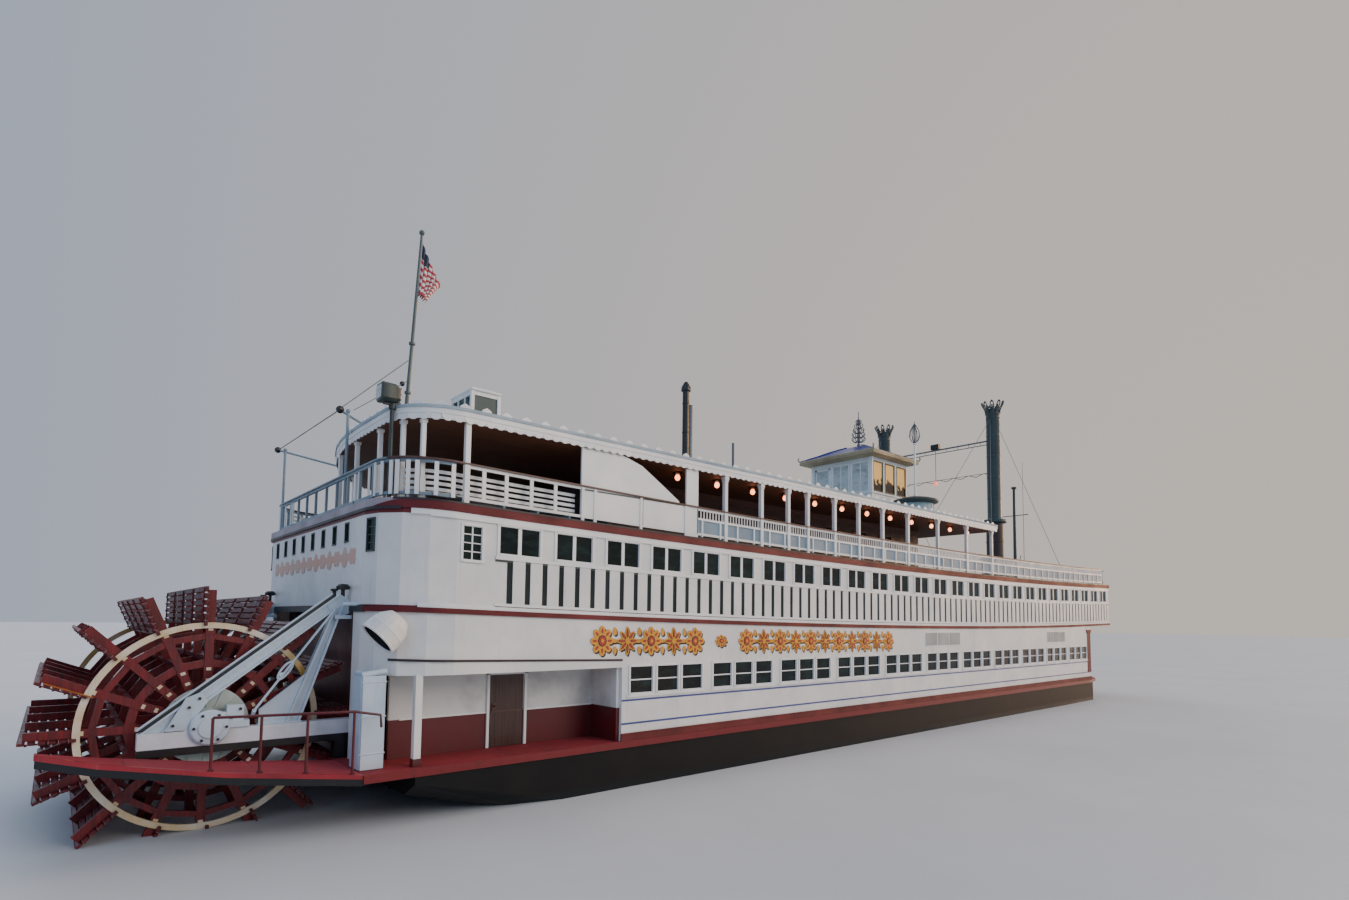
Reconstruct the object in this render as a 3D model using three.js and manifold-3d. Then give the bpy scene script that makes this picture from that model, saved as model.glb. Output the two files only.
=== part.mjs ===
// Stern-wheel paddle steamer, a scale model at 1:2.
//
// Lengths are written in metres of the full-size boat: x runs forward from the upper stern wall,
// y to port, z up from the flat bottom of the hull. The last group turns them to millimetres of the
// model and puts the origin under the middle of its length.
import * as THREE from 'three';
import { mergeVertices } from 'three/addons/utils/BufferGeometryUtils.js';
import Module from 'manifold-3d';

const wasm = await Module();
wasm.setup();

// Scale and the gap between pieces that touch
const MODEL_MM_PER_METRE = 500;
const GAP = 0.0008;

// Driving dimensions of the boat
const HALF_BEAM = 7.0;
const BOW_TIP_X = 54.6;
const WHEEL_AFT_X = -6.55;
const MID_X = (BOW_TIP_X + WHEEL_AFT_X) / 2;
const WALL = 0.12;

// Heights above the flat bottom, amidships where the decks are lowest
const HULL_TOP = 2.72;
const MAIN_DECK = 2.92;
const DECK2_UNDER = 6.45;
const DECK2 = 6.6;
const DECK3_UNDER = 8.98;
const DECK3 = 9.357;
const ROOF_UNDER = 11.95;
const ROOF_EDGE = 12.25;
const ROOF_CROWN = 12.45;

// The upper decks rise towards both ends. The curve is straight between knots 4 m apart, so that
// every piece that follows it stays the same distance from its neighbours.
const SHEER_LOW_X = 28.7;
const SHEER_RATE = 0.0005;
const KNOT = 4;
const curve = (x) => SHEER_RATE * (x - SHEER_LOW_X) ** 2;
function sheer(x) {
  const left = Math.floor(x / KNOT) * KNOT;
  const part = (x - left) / KNOT;
  return curve(left) * (1 - part) + curve(left + KNOT) * part;
}

// Plan of the upper decks: round quarters aft, a flat oval forward
const QUARTER_R = 1.8;
const FRONT_X = 51.9;
const FRONT_DEPTH = 2.4;

// Plan of the hull and main deck
const DECK_AFT_X = -0.35;
const HULL_AFT_X = 0.9;
const BOW_START_X = 47.6;
const BOW_LENGTH = BOW_TIP_X - BOW_START_X;

// Paddle wheel
const WHEEL = { x: -3.12, z: 4.0, halfWidth: 4.05, ringY: 3.9, ringIn: 2.36, ringOut: 2.5, tip: 3.43 };
const WHEEL_ARMS = 16;
const WHEEL_FRAMES = 5;
const HUB_R = 0.9;
const RING_THICK = 0.08;
const RING_SIDES = 32;
const SHAFT_R = 0.16;
const SHAFT_SIDES = 32;
// Holes round the shaft have flat sides that clear its corners
const SHAFT_BORE_R = (SHAFT_R + GAP) / Math.cos(Math.PI / SHAFT_SIDES);
const BEAM_Y = 4.3;
const BEAM_W = 0.3;
// The main deck is cut back round the turning wheel
const WHEEL_NOTCH = { x: 0.32, y: 4.13 };

const DEG = Math.PI / 180;

// Finishes
function finish(color, roughness, metalness = 0) {
  return new THREE.MeshStandardMaterial({ color, roughness, metalness });
}
const WHITE = finish(0xe8e6df, 0.5);
const RED = finish(0x8e1a20, 0.5);
const WHEEL_RED = finish(0x7a1216, 0.6);
const BLACK = finish(0x16181a, 0.55);
const BROWN = finish(0x4a2f22, 0.7);
const IRON = finish(0x2b2c2e, 0.6, 0.4);
const BLUE = finish(0x4d6f8c, 0.6);
const CLOTH = finish(0xa8383c, 0.9);

const boat = new THREE.Group();
const port = new THREE.Group();
port.scale.y = -1;
boat.add(port);

function place(name, geometry, material, parent = boat) {
  const mesh = new THREE.Mesh(geometry, material);
  mesh.name = name;
  parent.add(mesh);
  return mesh;
}

// A piece on the starboard side and its mirror image on the port side
function placePair(name, makeGeometry, material) {
  place(`${name}_starboard`, makeGeometry(), material);
  place(`${name}_port`, makeGeometry(), material, port);
}

// Solid of vertices and triangles
function geometryFrom(points, triangles) {
  const geometry = new THREE.BufferGeometry();
  geometry.setAttribute('position', new THREE.Float32BufferAttribute(points.flat(), 3));
  geometry.setIndex(triangles);
  geometry.computeVertexNormals();
  return geometry;
}

function signedVolume(points, triangles) {
  let six = 0;
  for (let i = 0; i < triangles.length; i += 3) {
    const [a, b, c] = [0, 1, 2].map((k) => points[triangles[i + k]]);
    six += a[0] * (b[1] * c[2] - b[2] * c[1]) + a[1] * (b[2] * c[0] - b[0] * c[2])
      + a[2] * (b[0] * c[1] - b[1] * c[0]);
  }
  return six;
}

// Triangles that fill one closed section, wound the way the section runs
function fill(section) {
  const spread = [0, 1, 2].map((k) => {
    const values = section.map((p) => p[k]);
    return Math.max(...values) - Math.min(...values);
  });
  const flat = spread.indexOf(Math.min(...spread));
  const [u, v] = [0, 1, 2].filter((k) => k !== flat);
  const contour = section.map((p) => new THREE.Vector2(p[u], p[v]));
  const turn = Math.sign(THREE.ShapeUtils.area(contour));
  return THREE.ShapeUtils.triangulateShape(contour, []).map(([a, b, c]) => {
    const own = Math.sign(THREE.ShapeUtils.area([contour[a], contour[b], contour[c]]));
    return own === turn ? [a, b, c] : [a, c, b];
  });
}

// Skin through closed sections that have the same number of points
function loft(sections) {
  const count = sections[0].length;
  const points = sections.flat();
  const triangles = [];
  for (let s = 0; s < sections.length - 1; s += 1) {
    for (let i = 0; i < count; i += 1) {
      const a = s * count + i;
      const b = s * count + ((i + 1) % count);
      triangles.push(a, b, b + count, a, b + count, a + count);
    }
  }
  const last = points.length - count;
  for (const [a, b, c] of fill(sections[0])) triangles.push(c, b, a);
  for (const [a, b, c] of fill(sections.at(-1))) triangles.push(last + a, last + b, last + c);
  if (signedVolume(points, triangles) < 0) triangles.reverse();
  return geometryFrom(points, triangles);
}

function box(x0, x1, y0, y1, z0, z1) {
  const solid = new THREE.BoxGeometry(x1 - x0, y1 - y0, z1 - z0);
  return solid.translate((x0 + x1) / 2, (y0 + y1) / 2, (z0 + z1) / 2);
}

// Lifts a piece that was drawn on level decks onto the sheer of the real ones
function sheered(geometry) {
  const position = geometry.attributes.position;
  for (let i = 0; i < position.count; i += 1) {
    position.setZ(i, position.getZ(i) + sheer(position.getX(i)));
  }
  return geometry;
}

// Solid with the outline drawn in x and z, between two y
function prism(outline, y0, y1) {
  const shape = new THREE.Shape(outline.map(([x, z]) => new THREE.Vector2(x, z)));
  const options = { depth: y1 - y0, bevelEnabled: false };
  return new THREE.ExtrudeGeometry(shape, options).rotateX(Math.PI / 2).translate(0, y1, 0);
}

function sideways(outline, y0, y1, holes = []) {
  const plain = prism(outline, y0, y1);
  return holes.length === 0 ? plain : cut(plain, holes.map((hole) => prism(hole, y0 - 1, y1 + 1)));
}

// Solid with the outline drawn in y and z, between two x
function endways(outline, x0, x1, holes = []) {
  const turned = sideways(outline, -x1, -x0, holes);
  return turned.rotateZ(Math.PI / 2);
}

function rectangle(x0, x1, z0, z1) {
  return [[x0, z0], [x1, z0], [x1, z1], [x0, z1]];
}

// Points of a circle in x and z
function ring(r, sides, x = 0, z = 0) {
  return Array.from({ length: sides }, (_, k) => {
    const a = (k * 2 * Math.PI) / sides;
    return [x + r * Math.cos(a), z + r * Math.sin(a)];
  });
}

function upright(profile, x, y, sides = 20) {
  const outline = profile.map(([r, z]) => new THREE.Vector2(r, z));
  return new THREE.LatheGeometry(outline, sides).rotateX(Math.PI / 2).translate(x, y, 0);
}

// Manifold solid of a geometry, and back
function solidOf(geometry) {
  const bare = geometry.clone();
  bare.deleteAttribute('normal');
  bare.deleteAttribute('uv');
  const merged = mergeVertices(bare, 1e-6);
  const vertProperties = merged.attributes.position.array;
  const triVerts = new Uint32Array(merged.index.array);
  return new wasm.Manifold(new wasm.Mesh({ numProp: 3, vertProperties, triVerts }));
}

function geometryOf(solid) {
  const mesh = solid.getMesh();
  const geometry = new THREE.BufferGeometry();
  geometry.setAttribute('position', new THREE.BufferAttribute(mesh.vertProperties, 3));
  geometry.setIndex(new THREE.BufferAttribute(mesh.triVerts, 1));
  geometry.computeVertexNormals();
  return geometry;
}

function joined(geometries) {
  return geometryOf(geometries.map(solidOf).reduce((whole, piece) => whole.add(piece)));
}

function cut(geometry, tools) {
  return geometryOf(tools.map(solidOf).reduce((whole, tool) => whole.subtract(tool), solidOf(geometry)));
}

// Values of x at the sheer's knots between two ends, both ends included
function stations(x0, x1) {
  const list = [x0];
  for (let x = Math.floor(x0 / KNOT + 1) * KNOT; x < x1 - 1e-6; x += KNOT) list.push(x);
  list.push(x1);
  return list;
}

// Half width of the upper decks at stations along the boat: [x, half width]
function deckPlan(inset = 0) {
  const plan = [];
  for (let a = 0; a <= 90; a += 22.5) {
    const r = QUARTER_R - inset;
    plan.push([QUARTER_R - r * Math.cos(a * DEG), HALF_BEAM - QUARTER_R + r * Math.sin(a * DEG)]);
  }
  for (const x of stations(QUARTER_R, FRONT_X).slice(1, -1)) plan.push([x, HALF_BEAM - inset]);
  for (const a of [0, 18, 36, 52, 66, 78]) {
    const x = FRONT_X + (FRONT_DEPTH - inset) * Math.sin(a * DEG);
    plan.push([x, (HALF_BEAM - inset) * Math.cos(a * DEG)]);
  }
  return plan;
}

function deckSlab(z0, z1, inset = 0) {
  const sections = deckPlan(inset).map(([x, w]) => [[x, -w, z0], [x, w, z0], [x, w, z1], [x, -w, z1]]);
  return sheered(loft(sections));
}

// Hull, with a raked stern and a bluff spoon bow
const STERN_RAKE_X = 9;
const BILGE = 0.5;
function hullHalfWidth(x) {
  if (x <= BOW_START_X) return HALF_BEAM;
  return HALF_BEAM * Math.sqrt(Math.max(0, 1 - ((x - BOW_START_X) / BOW_LENGTH) ** 2));
}

// Columns: x, share of the deck's half width at the bottom, height of the bottom
const HULL_SECTIONS = [
  [HULL_AFT_X, 0.9, 2.15],
  [5, 0.92, 1.06],
  [STERN_RAKE_X, 0.93, 0],
  [28, 0.93, 0],
  [44, 0.93, 0],
  [48.5, 0.86, 0.25],
  [51.5, 0.72, 0.85],
  [53.5, 0.6, 1.6],
  [54.3, 0.5, 2.15],
];

function hull() {
  const sections = HULL_SECTIONS.map(([x, share, z]) => {
    const w = hullHalfWidth(x);
    const low = w * share;
    const knuckle = Math.min(z + BILGE, HULL_TOP - 0.2);
    return [
      [x, -low, z], [x, low, z], [x, w, knuckle], [x, w, HULL_TOP], [x, -w, HULL_TOP], [x, -w, knuckle],
    ];
  });
  return loft(sections);
}

function mainDeck() {
  const rows = [DECK_AFT_X, BOW_START_X].map((x) => [x, HALF_BEAM]);
  for (const a of [20, 38, 54, 68, 80]) {
    rows.push([BOW_START_X + BOW_LENGTH * Math.sin(a * DEG), HALF_BEAM * Math.cos(a * DEG)]);
  }
  rows.push([BOW_TIP_X, 0.35]);
  const proud = 0.06;
  const z0 = HULL_TOP + GAP;
  const plate = loft(rows.map(([x, w]) => {
    const y = w + proud;
    return [[x, -y, z0], [x, y, z0], [x, y, MAIN_DECK], [x, -y, MAIN_DECK]];
  }));
  const { x, y } = WHEEL_NOTCH;
  return cut(plate, [box(DECK_AFT_X - 1, x, -y, y, z0 - 1, MAIN_DECK + 1)]);
}

place('hull', hull(), BLACK);
place('main_deck', mainDeck(), RED);

// Main deck house: side walls with trios of sashes, and the fascia over the open aft recess
const RECESS_X = 7.3;
const HOUSE_FWD_X = 48;
const FASCIA_LOW = 5.2;
const TRIO_SASHES = [[0, 0.93], [1.11, 2.03], [2.2, 3.13]];
const TRIO = { x: 7.61, pitch: 3.65, count: 11, z0: 4.37, z1: 5.22 };

function houseSide() {
  const low = MAIN_DECK + GAP;
  const aft = QUARTER_R + GAP;
  const top = stations(aft, HOUSE_FWD_X).map((x) => [x, DECK2_UNDER + sheer(x) - GAP]);
  const outline = [
    [aft, FASCIA_LOW], [RECESS_X, FASCIA_LOW], [RECESS_X, low], [HOUSE_FWD_X, low], ...top.reverse(),
  ];
  const holes = [];
  for (let i = 0; i < TRIO.count; i += 1) {
    for (const [a, b] of TRIO_SASHES) {
      const x = TRIO.x + TRIO.pitch * i;
      holes.push(rectangle(x + a, x + b, TRIO.z0, TRIO.z1));
    }
  }
  return sideways(outline, -HALF_BEAM, -HALF_BEAM + WALL, holes);
}

placePair('house_side', houseSide, WHITE);

// Cross walls of the main deck house, with doorways
const DOOR_W = 1.1;
const DOOR_TOP = MAIN_DECK + 2.1;
const SIDE_IN = HALF_BEAM - WALL - GAP;
const BULKHEAD_X = 0.72;
const BULKHEAD_Y = 4.1;

// Cross wall between two y, from the main deck up to the second deck, with doorways at the given y
function crossWall(x, y0, y1, doors = []) {
  const low = MAIN_DECK + GAP;
  const top = DECK2_UNDER + Math.min(sheer(x), sheer(x + WALL)) - GAP;
  const outline = [[y0, low]];
  for (const y of doors) {
    const half = DOOR_W / 2;
    outline.push([y - half, low], [y - half, DOOR_TOP], [y + half, DOOR_TOP], [y + half, low]);
  }
  outline.push([y1, low], [y1, top], [y0, top]);
  return endways(outline, x, x + WALL);
}

place('stern_bulkhead', crossWall(BULKHEAD_X, -BULKHEAD_Y, BULKHEAD_Y), RED);
place('house_front', crossWall(HOUSE_FWD_X - WALL, -SIDE_IN, SIDE_IN, [-3.2, 3.2]), WHITE);

// The engine room's side walls stand back from the recess
const ENGINE_WALL_Y = 5.5;
const ENGINE_DOOR = { x0: 3.6, x1: 4.7 };

function engineWall() {
  const low = MAIN_DECK + GAP;
  const x0 = BULKHEAD_X;
  const x1 = RECESS_X - WALL / 2;
  const top = stations(x0, x1).map((x) => [x, DECK2_UNDER + sheer(x) - GAP]);
  const door = [ENGINE_DOOR.x0, ENGINE_DOOR.x1].map((x) => [[x, low], [x, DOOR_TOP]]);
  const outline = [[x0, low], ...door[0], ...door[1].reverse(), [x1, low], ...top.reverse()];
  const side = sideways(outline, -ENGINE_WALL_Y, -ENGINE_WALL_Y + WALL);
  return joined([side, crossWall(RECESS_X - WALL, -SIDE_IN, -ENGINE_WALL_Y + WALL / 2)]);
}

placePair('engine_room_wall', engineWall, WHITE);

// A screen closes the recess aft. The fascia over it turns the quarter, stands on a post, and carries
// a cowl vent.
const SCREEN = { y0: -6, y1: -4.6, top: FASCIA_LOW + 0.02 };
const RECESS_POST = { x: 1, y: -6.72, half: 0.09 };
const COWL = { x: 0.216, y: -6.55, z: 6.35, tilt: -134 };
// Cup of the cowl: radius, and height towards its mouth
const COWL_PROFILE = [
  [0, -0.5], [0.3, -0.42], [0.45, -0.2], [0.5, 0.05], [0.5, 0.3],
  [0.44, 0.3], [0.44, 0.05], [0.38, -0.15], [0.2, -0.33], [0, -0.38],
];
function sternScreen() {
  const low = MAIN_DECK + GAP;
  const high = DECK2_UNDER - GAP;
  const turn = (r) => [...quarterPoints(r).slice(0, 5), [QUARTER_R - r, SCREEN.y1]];
  const inner = turn(QUARTER_R - WALL);
  const fascia = loft(turn(QUARTER_R).map(([x, y], i) => {
    const [u, v] = inner[i];
    return [[x, y, FASCIA_LOW], [x, y, high + sheer(x)], [u, v, high + sheer(u)], [u, v, FASCIA_LOW]];
  }));
  const screen = box(0, WALL, SCREEN.y0, SCREEN.y1, low, SCREEN.top);
  const { x, y, half } = RECESS_POST;
  const post = box(x - half, x + half, y - half, y + half, low, SCREEN.top);
  const cowl = upright(COWL_PROFILE, 0, 0).rotateY(COWL.tilt * DEG).translate(COWL.x, COWL.y, COWL.z);
  return joined([fascia, screen, post, cowl]);
}
placePair('stern_screen', sternScreen, WHITE);

// Doors of the engine room, flush with the outer face and hinged on their forward edge
const DOOR_CLEAR = 0.012;
const DOOR_HINGE_GAP = 0.0012;
const DOOR_THICK = 0.06;
function engineDoor() {
  const x0 = ENGINE_DOOR.x0 + DOOR_CLEAR;
  const x1 = ENGINE_DOOR.x1 - DOOR_HINGE_GAP;
  const y = -ENGINE_WALL_Y;
  return box(x0, x1, y, y + DOOR_THICK, MAIN_DECK + DOOR_CLEAR, DOOR_TOP - DOOR_CLEAR);
}
placePair('engine_room_door', engineDoor, BROWN);

// Machinery, as plain blocks that stand on the main deck
const BOILER = { x: [33, 40.5], y: [-2.2, 2.2], height: 2.6 };
const ENGINE = { x: [2.2, 6.4], y: [-4.7, -3.5], height: 1.3 };
const machine = ({ x, y, height }) => box(...x, ...y, MAIN_DECK + GAP, MAIN_DECK + height);
place('boiler', machine(BOILER), IRON);
placePair('engine', () => machine(ENGINE), IRON);

// Upper decks
place('second_deck', deckSlab(DECK2_UNDER, DECK2), RED);
place('third_deck', deckSlab(DECK3_UNDER, DECK3), RED);

// Second deck walls: boards with narrow gaps below, pairs of sashes above
const SASH = { x: 6.635, pitch: 1.813, first: -2, last: 24, width: 1.27, z0: 8.12, z1: 8.9 };
const AFT_SASH = { x0: 1.95, x1: 2.5, z0: 7.87, z1: 8.79 };
const SLOT = { x: 3.26, pitch: 0.553, count: 88, width: 0.17, z0: 6.78, z1: 7.95 };
const CABIN_LOW = DECK2 + GAP;
const CABIN_TOP = DECK3_UNDER - GAP;

function lifted(points) {
  return points.map(([x, z]) => [x, z + sheer(x)]);
}

function cabinSide() {
  const x0 = QUARTER_R + GAP;
  const x1 = FRONT_X - GAP;
  const marks = stations(x0, x1);
  const top = [...marks].reverse().map((x) => [x, CABIN_TOP]);
  const outline = [...marks.map((x) => [x, CABIN_LOW]), ...top];
  const holes = [];
  for (let i = SASH.first; i <= SASH.last; i += 1) {
    const x = SASH.x + SASH.pitch * i;
    if (x + SASH.width < x1 - 0.2) holes.push(lifted(rectangle(x, x + SASH.width, SASH.z0, SASH.z1)));
  }
  holes.push(lifted(rectangle(AFT_SASH.x0, AFT_SASH.x1, AFT_SASH.z0, AFT_SASH.z1)));
  for (let i = 0; i < SLOT.count; i += 1) {
    const x = SLOT.x + SLOT.pitch * i;
    holes.push(lifted(rectangle(x, x + SLOT.width, SLOT.z0, SLOT.z1)));
  }
  return sideways(lifted(outline), -HALF_BEAM, -HALF_BEAM + WALL, holes);
}

placePair('cabin_side', cabinSide, WHITE);

// Wall that follows a plan of outer and inner points
function planWall(outer, inner, z0, z1) {
  return sheered(loft(outer.map(([x, y], i) => {
    const [u, v] = inner[i];
    return [[x, y, z0], [x, y, z1], [u, v, z1], [u, v, z0]];
  })));
}

function quarterPoints(r) {
  const points = [];
  for (let a = 90; a >= 0; a -= 22.5) {
    points.push([QUARTER_R - r * Math.cos(a * DEG), -(HALF_BEAM - QUARTER_R) - r * Math.sin(a * DEG)]);
  }
  return [...points, ...points.map(([x, y]) => [x, -y]).reverse()];
}

const STERN_WINDOW = { y: 4.53, pitch: 1.158, count: 8, width: 0.34, z0: 8.78, z1: 9.3 };
const QUARTER_WINDOW = { y0: 5.38, y1: 5.74, z0: 8.42, z1: 9.26 };
function sternWall() {
  const wall = planWall(quarterPoints(QUARTER_R), quarterPoints(QUARTER_R - WALL), CABIN_LOW, CABIN_TOP);
  const tools = [];
  for (let k = 0; k < STERN_WINDOW.count; k += 1) {
    const y = STERN_WINDOW.y - STERN_WINDOW.pitch * k;
    tools.push(box(-0.5, 0.5, y - STERN_WINDOW.width, y, STERN_WINDOW.z0, STERN_WINDOW.z1));
  }
  const { y0, y1, z0, z1 } = QUARTER_WINDOW;
  tools.push(box(-0.5, 0.8, y0, y1, z0, z1), box(-0.5, 0.8, -y1, -y0, z0, z1));
  return cut(wall, tools);
}
place('stern_wall', sternWall(), WHITE);

function frontPoints(inset) {
  const points = [];
  for (let a = -90; a <= 90; a += 15) {
    const across = [Math.cos(a * DEG), Math.sin(a * DEG)];
    points.push([FRONT_X + (FRONT_DEPTH - inset) * across[0], (HALF_BEAM - inset) * across[1]]);
  }
  return points;
}

const FRONT_WINDOW = { ys: [-5.1, -3.6, -2.1, 2.1, 3.6, 5.1], half: 0.45, z0: 8.32, z1: 9.15 };
const FRONT_DOOR = { half: 0.8, z0: 7.1, z1: 8.9 };
function frontWall() {
  const wall = planWall(frontPoints(0), frontPoints(WALL), CABIN_LOW, CABIN_TOP);
  const tip = FRONT_X + FRONT_DEPTH + 1;
  const tools = FRONT_WINDOW.ys.map((y) => {
    const { half, z0, z1 } = FRONT_WINDOW;
    return box(FRONT_X + 0.5, tip, y - half, y + half, z0, z1);
  });
  tools.push(box(FRONT_X + 1.6, tip, -FRONT_DOOR.half, FRONT_DOOR.half, FRONT_DOOR.z0, FRONT_DOOR.z1));
  return cut(wall, tools);
}
place('cabin_front', frontWall(), WHITE);

// Promenade of the third deck: rails and roof posts, with a panelled bulwark aft
const RAIL_Y = 6.78;
const RAIL_W = 0.07;
const RAIL_BAR = 0.08;
const RAIL_FOOT = 0.15;
const RAIL_TOP = DECK3 + 1.1;
const RAIL_X = [2.02, 51.4];
const POST_W = 0.14;
const ROOF_POSTS = [2.04, 12.0, 13.96, 15.56, 16.8, 18.64, 20.42, 22.34, 24.55, 27.42, 30.5, 33.5];
const OPEN_STANCHIONS = { x: 35.2, pitch: 1.8, count: 9 };
const BULWARK_X = [5.8, 10.69];
const BOX_POST_X = [10.13, 10.69];
// Panel that closes the promenade up to the roof, with its forward edge swept down to the rail
const FAIRING = [[9.81, 10.6], [9.79, 10.75], [9.26, 11.07], [8.82, 11.33], [8.15, 11.72], [7.52, 11.9]];
const ROOF_AFT_X = 0.42;
const ROOF_FWD_X = 34.1;
const ROOF_HALF = 6.85;
const ROOF_R = 1.6;

// Strip that follows the sheer, from one x and height to another
function strip(x0, x1, z0, z1, top = null) {
  const marks = stations(x0, x1);
  const upper = [...marks].reverse().map((x) => (top === null ? [x, z1 + sheer(x)] : [x, top]));
  return sideways([...marks.map((x) => [x, z0 + sheer(x)]), ...upper], -RAIL_Y, -RAIL_Y + RAIL_W);
}

function railPost(x, w, top) {
  const foot = DECK3 + Math.max(sheer(x), sheer(x + w)) + GAP;
  return box(x, x + w, -RAIL_Y - (w - RAIL_W) / 2, -RAIL_Y + (w + RAIL_W) / 2, foot, top);
}

function sideRail(roofPosts) {
  const roofed = ROOF_UNDER - GAP;
  const pieces = [DECK3 + RAIL_FOOT, RAIL_TOP - RAIL_BAR].map((z) => strip(...RAIL_X, z, z + RAIL_BAR));
  pieces.push(strip(BULWARK_X[0], BULWARK_X[1], DECK3 + RAIL_FOOT, RAIL_TOP));
  pieces.push(strip(BOX_POST_X[0], BOX_POST_X[1], DECK3 + GAP, 0, roofed));
  const fairing = [[BULWARK_X[0], roofed], [BULWARK_X[0], RAIL_TOP + 0.2], ...FAIRING, [7.3, roofed]];
  pieces.push(sideways(fairing, -RAIL_Y, -RAIL_Y + RAIL_W));
  for (const x of roofPosts) pieces.push(railPost(x, POST_W, roofed));
  for (let i = 0; i < OPEN_STANCHIONS.count; i += 1) {
    const x = OPEN_STANCHIONS.x + OPEN_STANCHIONS.pitch * i;
    pieces.push(railPost(x, RAIL_W, RAIL_TOP + sheer(x)));
  }
  return joined(pieces);
}
place('promenade_rail_starboard', sideRail(ROOF_POSTS), WHITE);
// The swept edge of the roof doesn't reach the first post to port
place('promenade_rail_port', sideRail(ROOF_POSTS.slice(1)), WHITE, port);

// Rails that follow the ends of the deck
function endRail(outer, inner, posts) {
  const heights = [DECK3 + RAIL_FOOT, RAIL_TOP - RAIL_BAR];
  const bars = heights.map((z) => planWall(outer, inner, z, z + RAIL_BAR));
  return joined([...bars, ...posts]);
}

function endPost(x, y, w, top) {
  const foot = DECK3 + Math.max(sheer(x - w / 2), sheer(x + w / 2)) + GAP;
  return box(x - w / 2, x + w / 2, y - w / 2, y + w / 2, foot, top);
}

const STERN_RAIL_R = 1.58;
const STERN_STANCHIONS = [-5, -3.9, -2.8, -1.7, -0.6, 0.6, 1.7, 2.8, 3.9, 5];
function sternRail() {
  const middle = STERN_RAIL_R - RAIL_W / 2;
  const places = STERN_STANCHIONS.map((y) => [QUARTER_R - middle, y]);
  for (const side of [-1, 1]) {
    const across = middle * Math.SQRT1_2;
    places.push([QUARTER_R - across, side * (HALF_BEAM - QUARTER_R + across)]);
  }
  const posts = places.map(([x, y]) => endPost(x, y, RAIL_W, RAIL_TOP + sheer(x)));
  return endRail(quarterPoints(STERN_RAIL_R), quarterPoints(STERN_RAIL_R - RAIL_W), posts);
}
place('stern_rail', sternRail(), WHITE);

const BOW_RAIL_IN = 0.22;
function bowRail() {
  const middle = frontPoints(BOW_RAIL_IN + RAIL_W / 2).filter((_, i) => i % 2 === 1);
  const posts = middle.map(([x, y]) => endPost(x, y, RAIL_W, RAIL_TOP + sheer(x)));
  return endRail(frontPoints(BOW_RAIL_IN), frontPoints(BOW_RAIL_IN + RAIL_W), posts);
}
place('bow_rail', bowRail(), WHITE);

// Roof over the after two thirds of the third deck, flat on top between its sloping edges. Its starboard
// quarter is a tight round, its port quarter a long sweep.
const ROOF_SLOPE_Y = 1.95;
const ROOF_SWEEP = { x: 6, y: 9.85 };
const ROOF_ROWS = [0, 0.05, 0.12, 0.3, 0.6, 1.05, 1.6, 2.5, 3.6, 4.8, 6, ROOF_FWD_X - ROOF_AFT_X];
function roof() {
  return loft(ROOF_ROWS.map((d) => {
    const round = Math.max(ROOF_R - d, 0);
    const sweep = Math.max(1 - d / ROOF_SWEEP.x, 0);
    const y0 = -(ROOF_HALF - ROOF_R) - Math.sqrt(ROOF_R ** 2 - round ** 2);
    const y1 = ROOF_HALF - ROOF_SWEEP.y * (1 - Math.sqrt(1 - sweep ** 2));
    const slope = Math.min(ROOF_SLOPE_Y, 0.45 * (y1 - y0));
    const crown = ROOF_EDGE + ((ROOF_CROWN - ROOF_EDGE) * slope) / ROOF_SLOPE_Y;
    const x = ROOF_AFT_X + d;
    return [
      [x, y0, ROOF_UNDER], [x, y1, ROOF_UNDER], [x, y1, ROOF_EDGE], [x, y1 - slope, crown],
      [x, y0 + slope, crown], [x, y0, ROOF_EDGE],
    ];
  }));
}
place('roof', roof(), BLUE);

// Cabin on the third deck: four walls with doorways and windows
const TEXAS = { x0: 9, x1: 31, y: 3.7 };
const TEXAS_WINDOW = { x: 10.2, pitch: 2.4, count: 8, width: 1.1, z0: 10.46, z1: 11.36 };
const TEXAS_DOOR = { half: 0.6, height: 2 };
function texasSide() {
  const x0 = TEXAS.x0;
  const x1 = TEXAS.x1;
  const low = stations(x0, x1).map((x) => [x, DECK3 + sheer(x) + GAP]);
  const outline = [...low, [x1, ROOF_UNDER - GAP], [x0, ROOF_UNDER - GAP]];
  const holes = [];
  for (let i = 0; i < TEXAS_WINDOW.count; i += 1) {
    const x = TEXAS_WINDOW.x + TEXAS_WINDOW.pitch * i;
    holes.push(rectangle(x, x + TEXAS_WINDOW.width, TEXAS_WINDOW.z0, TEXAS_WINDOW.z1));
  }
  return sideways(outline, -TEXAS.y, -TEXAS.y + WALL, holes);
}
function texasEnd(x) {
  const y = TEXAS.y - WALL - GAP;
  const low = DECK3 + Math.max(sheer(x), sheer(x + WALL)) + GAP;
  const { half, height } = TEXAS_DOOR;
  const door = [[-half, low], [-half, low + height], [half, low + height], [half, low]];
  const top = ROOF_UNDER - GAP;
  return endways([[-y, low], ...door, [y, low], [y, top], [-y, top]], x, x + WALL);
}
placePair('texas_side', texasSide, BROWN);
place('texas_aft', texasEnd(TEXAS.x0), BROWN);
place('texas_forward', texasEnd(TEXAS.x1 - WALL), BROWN);

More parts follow.
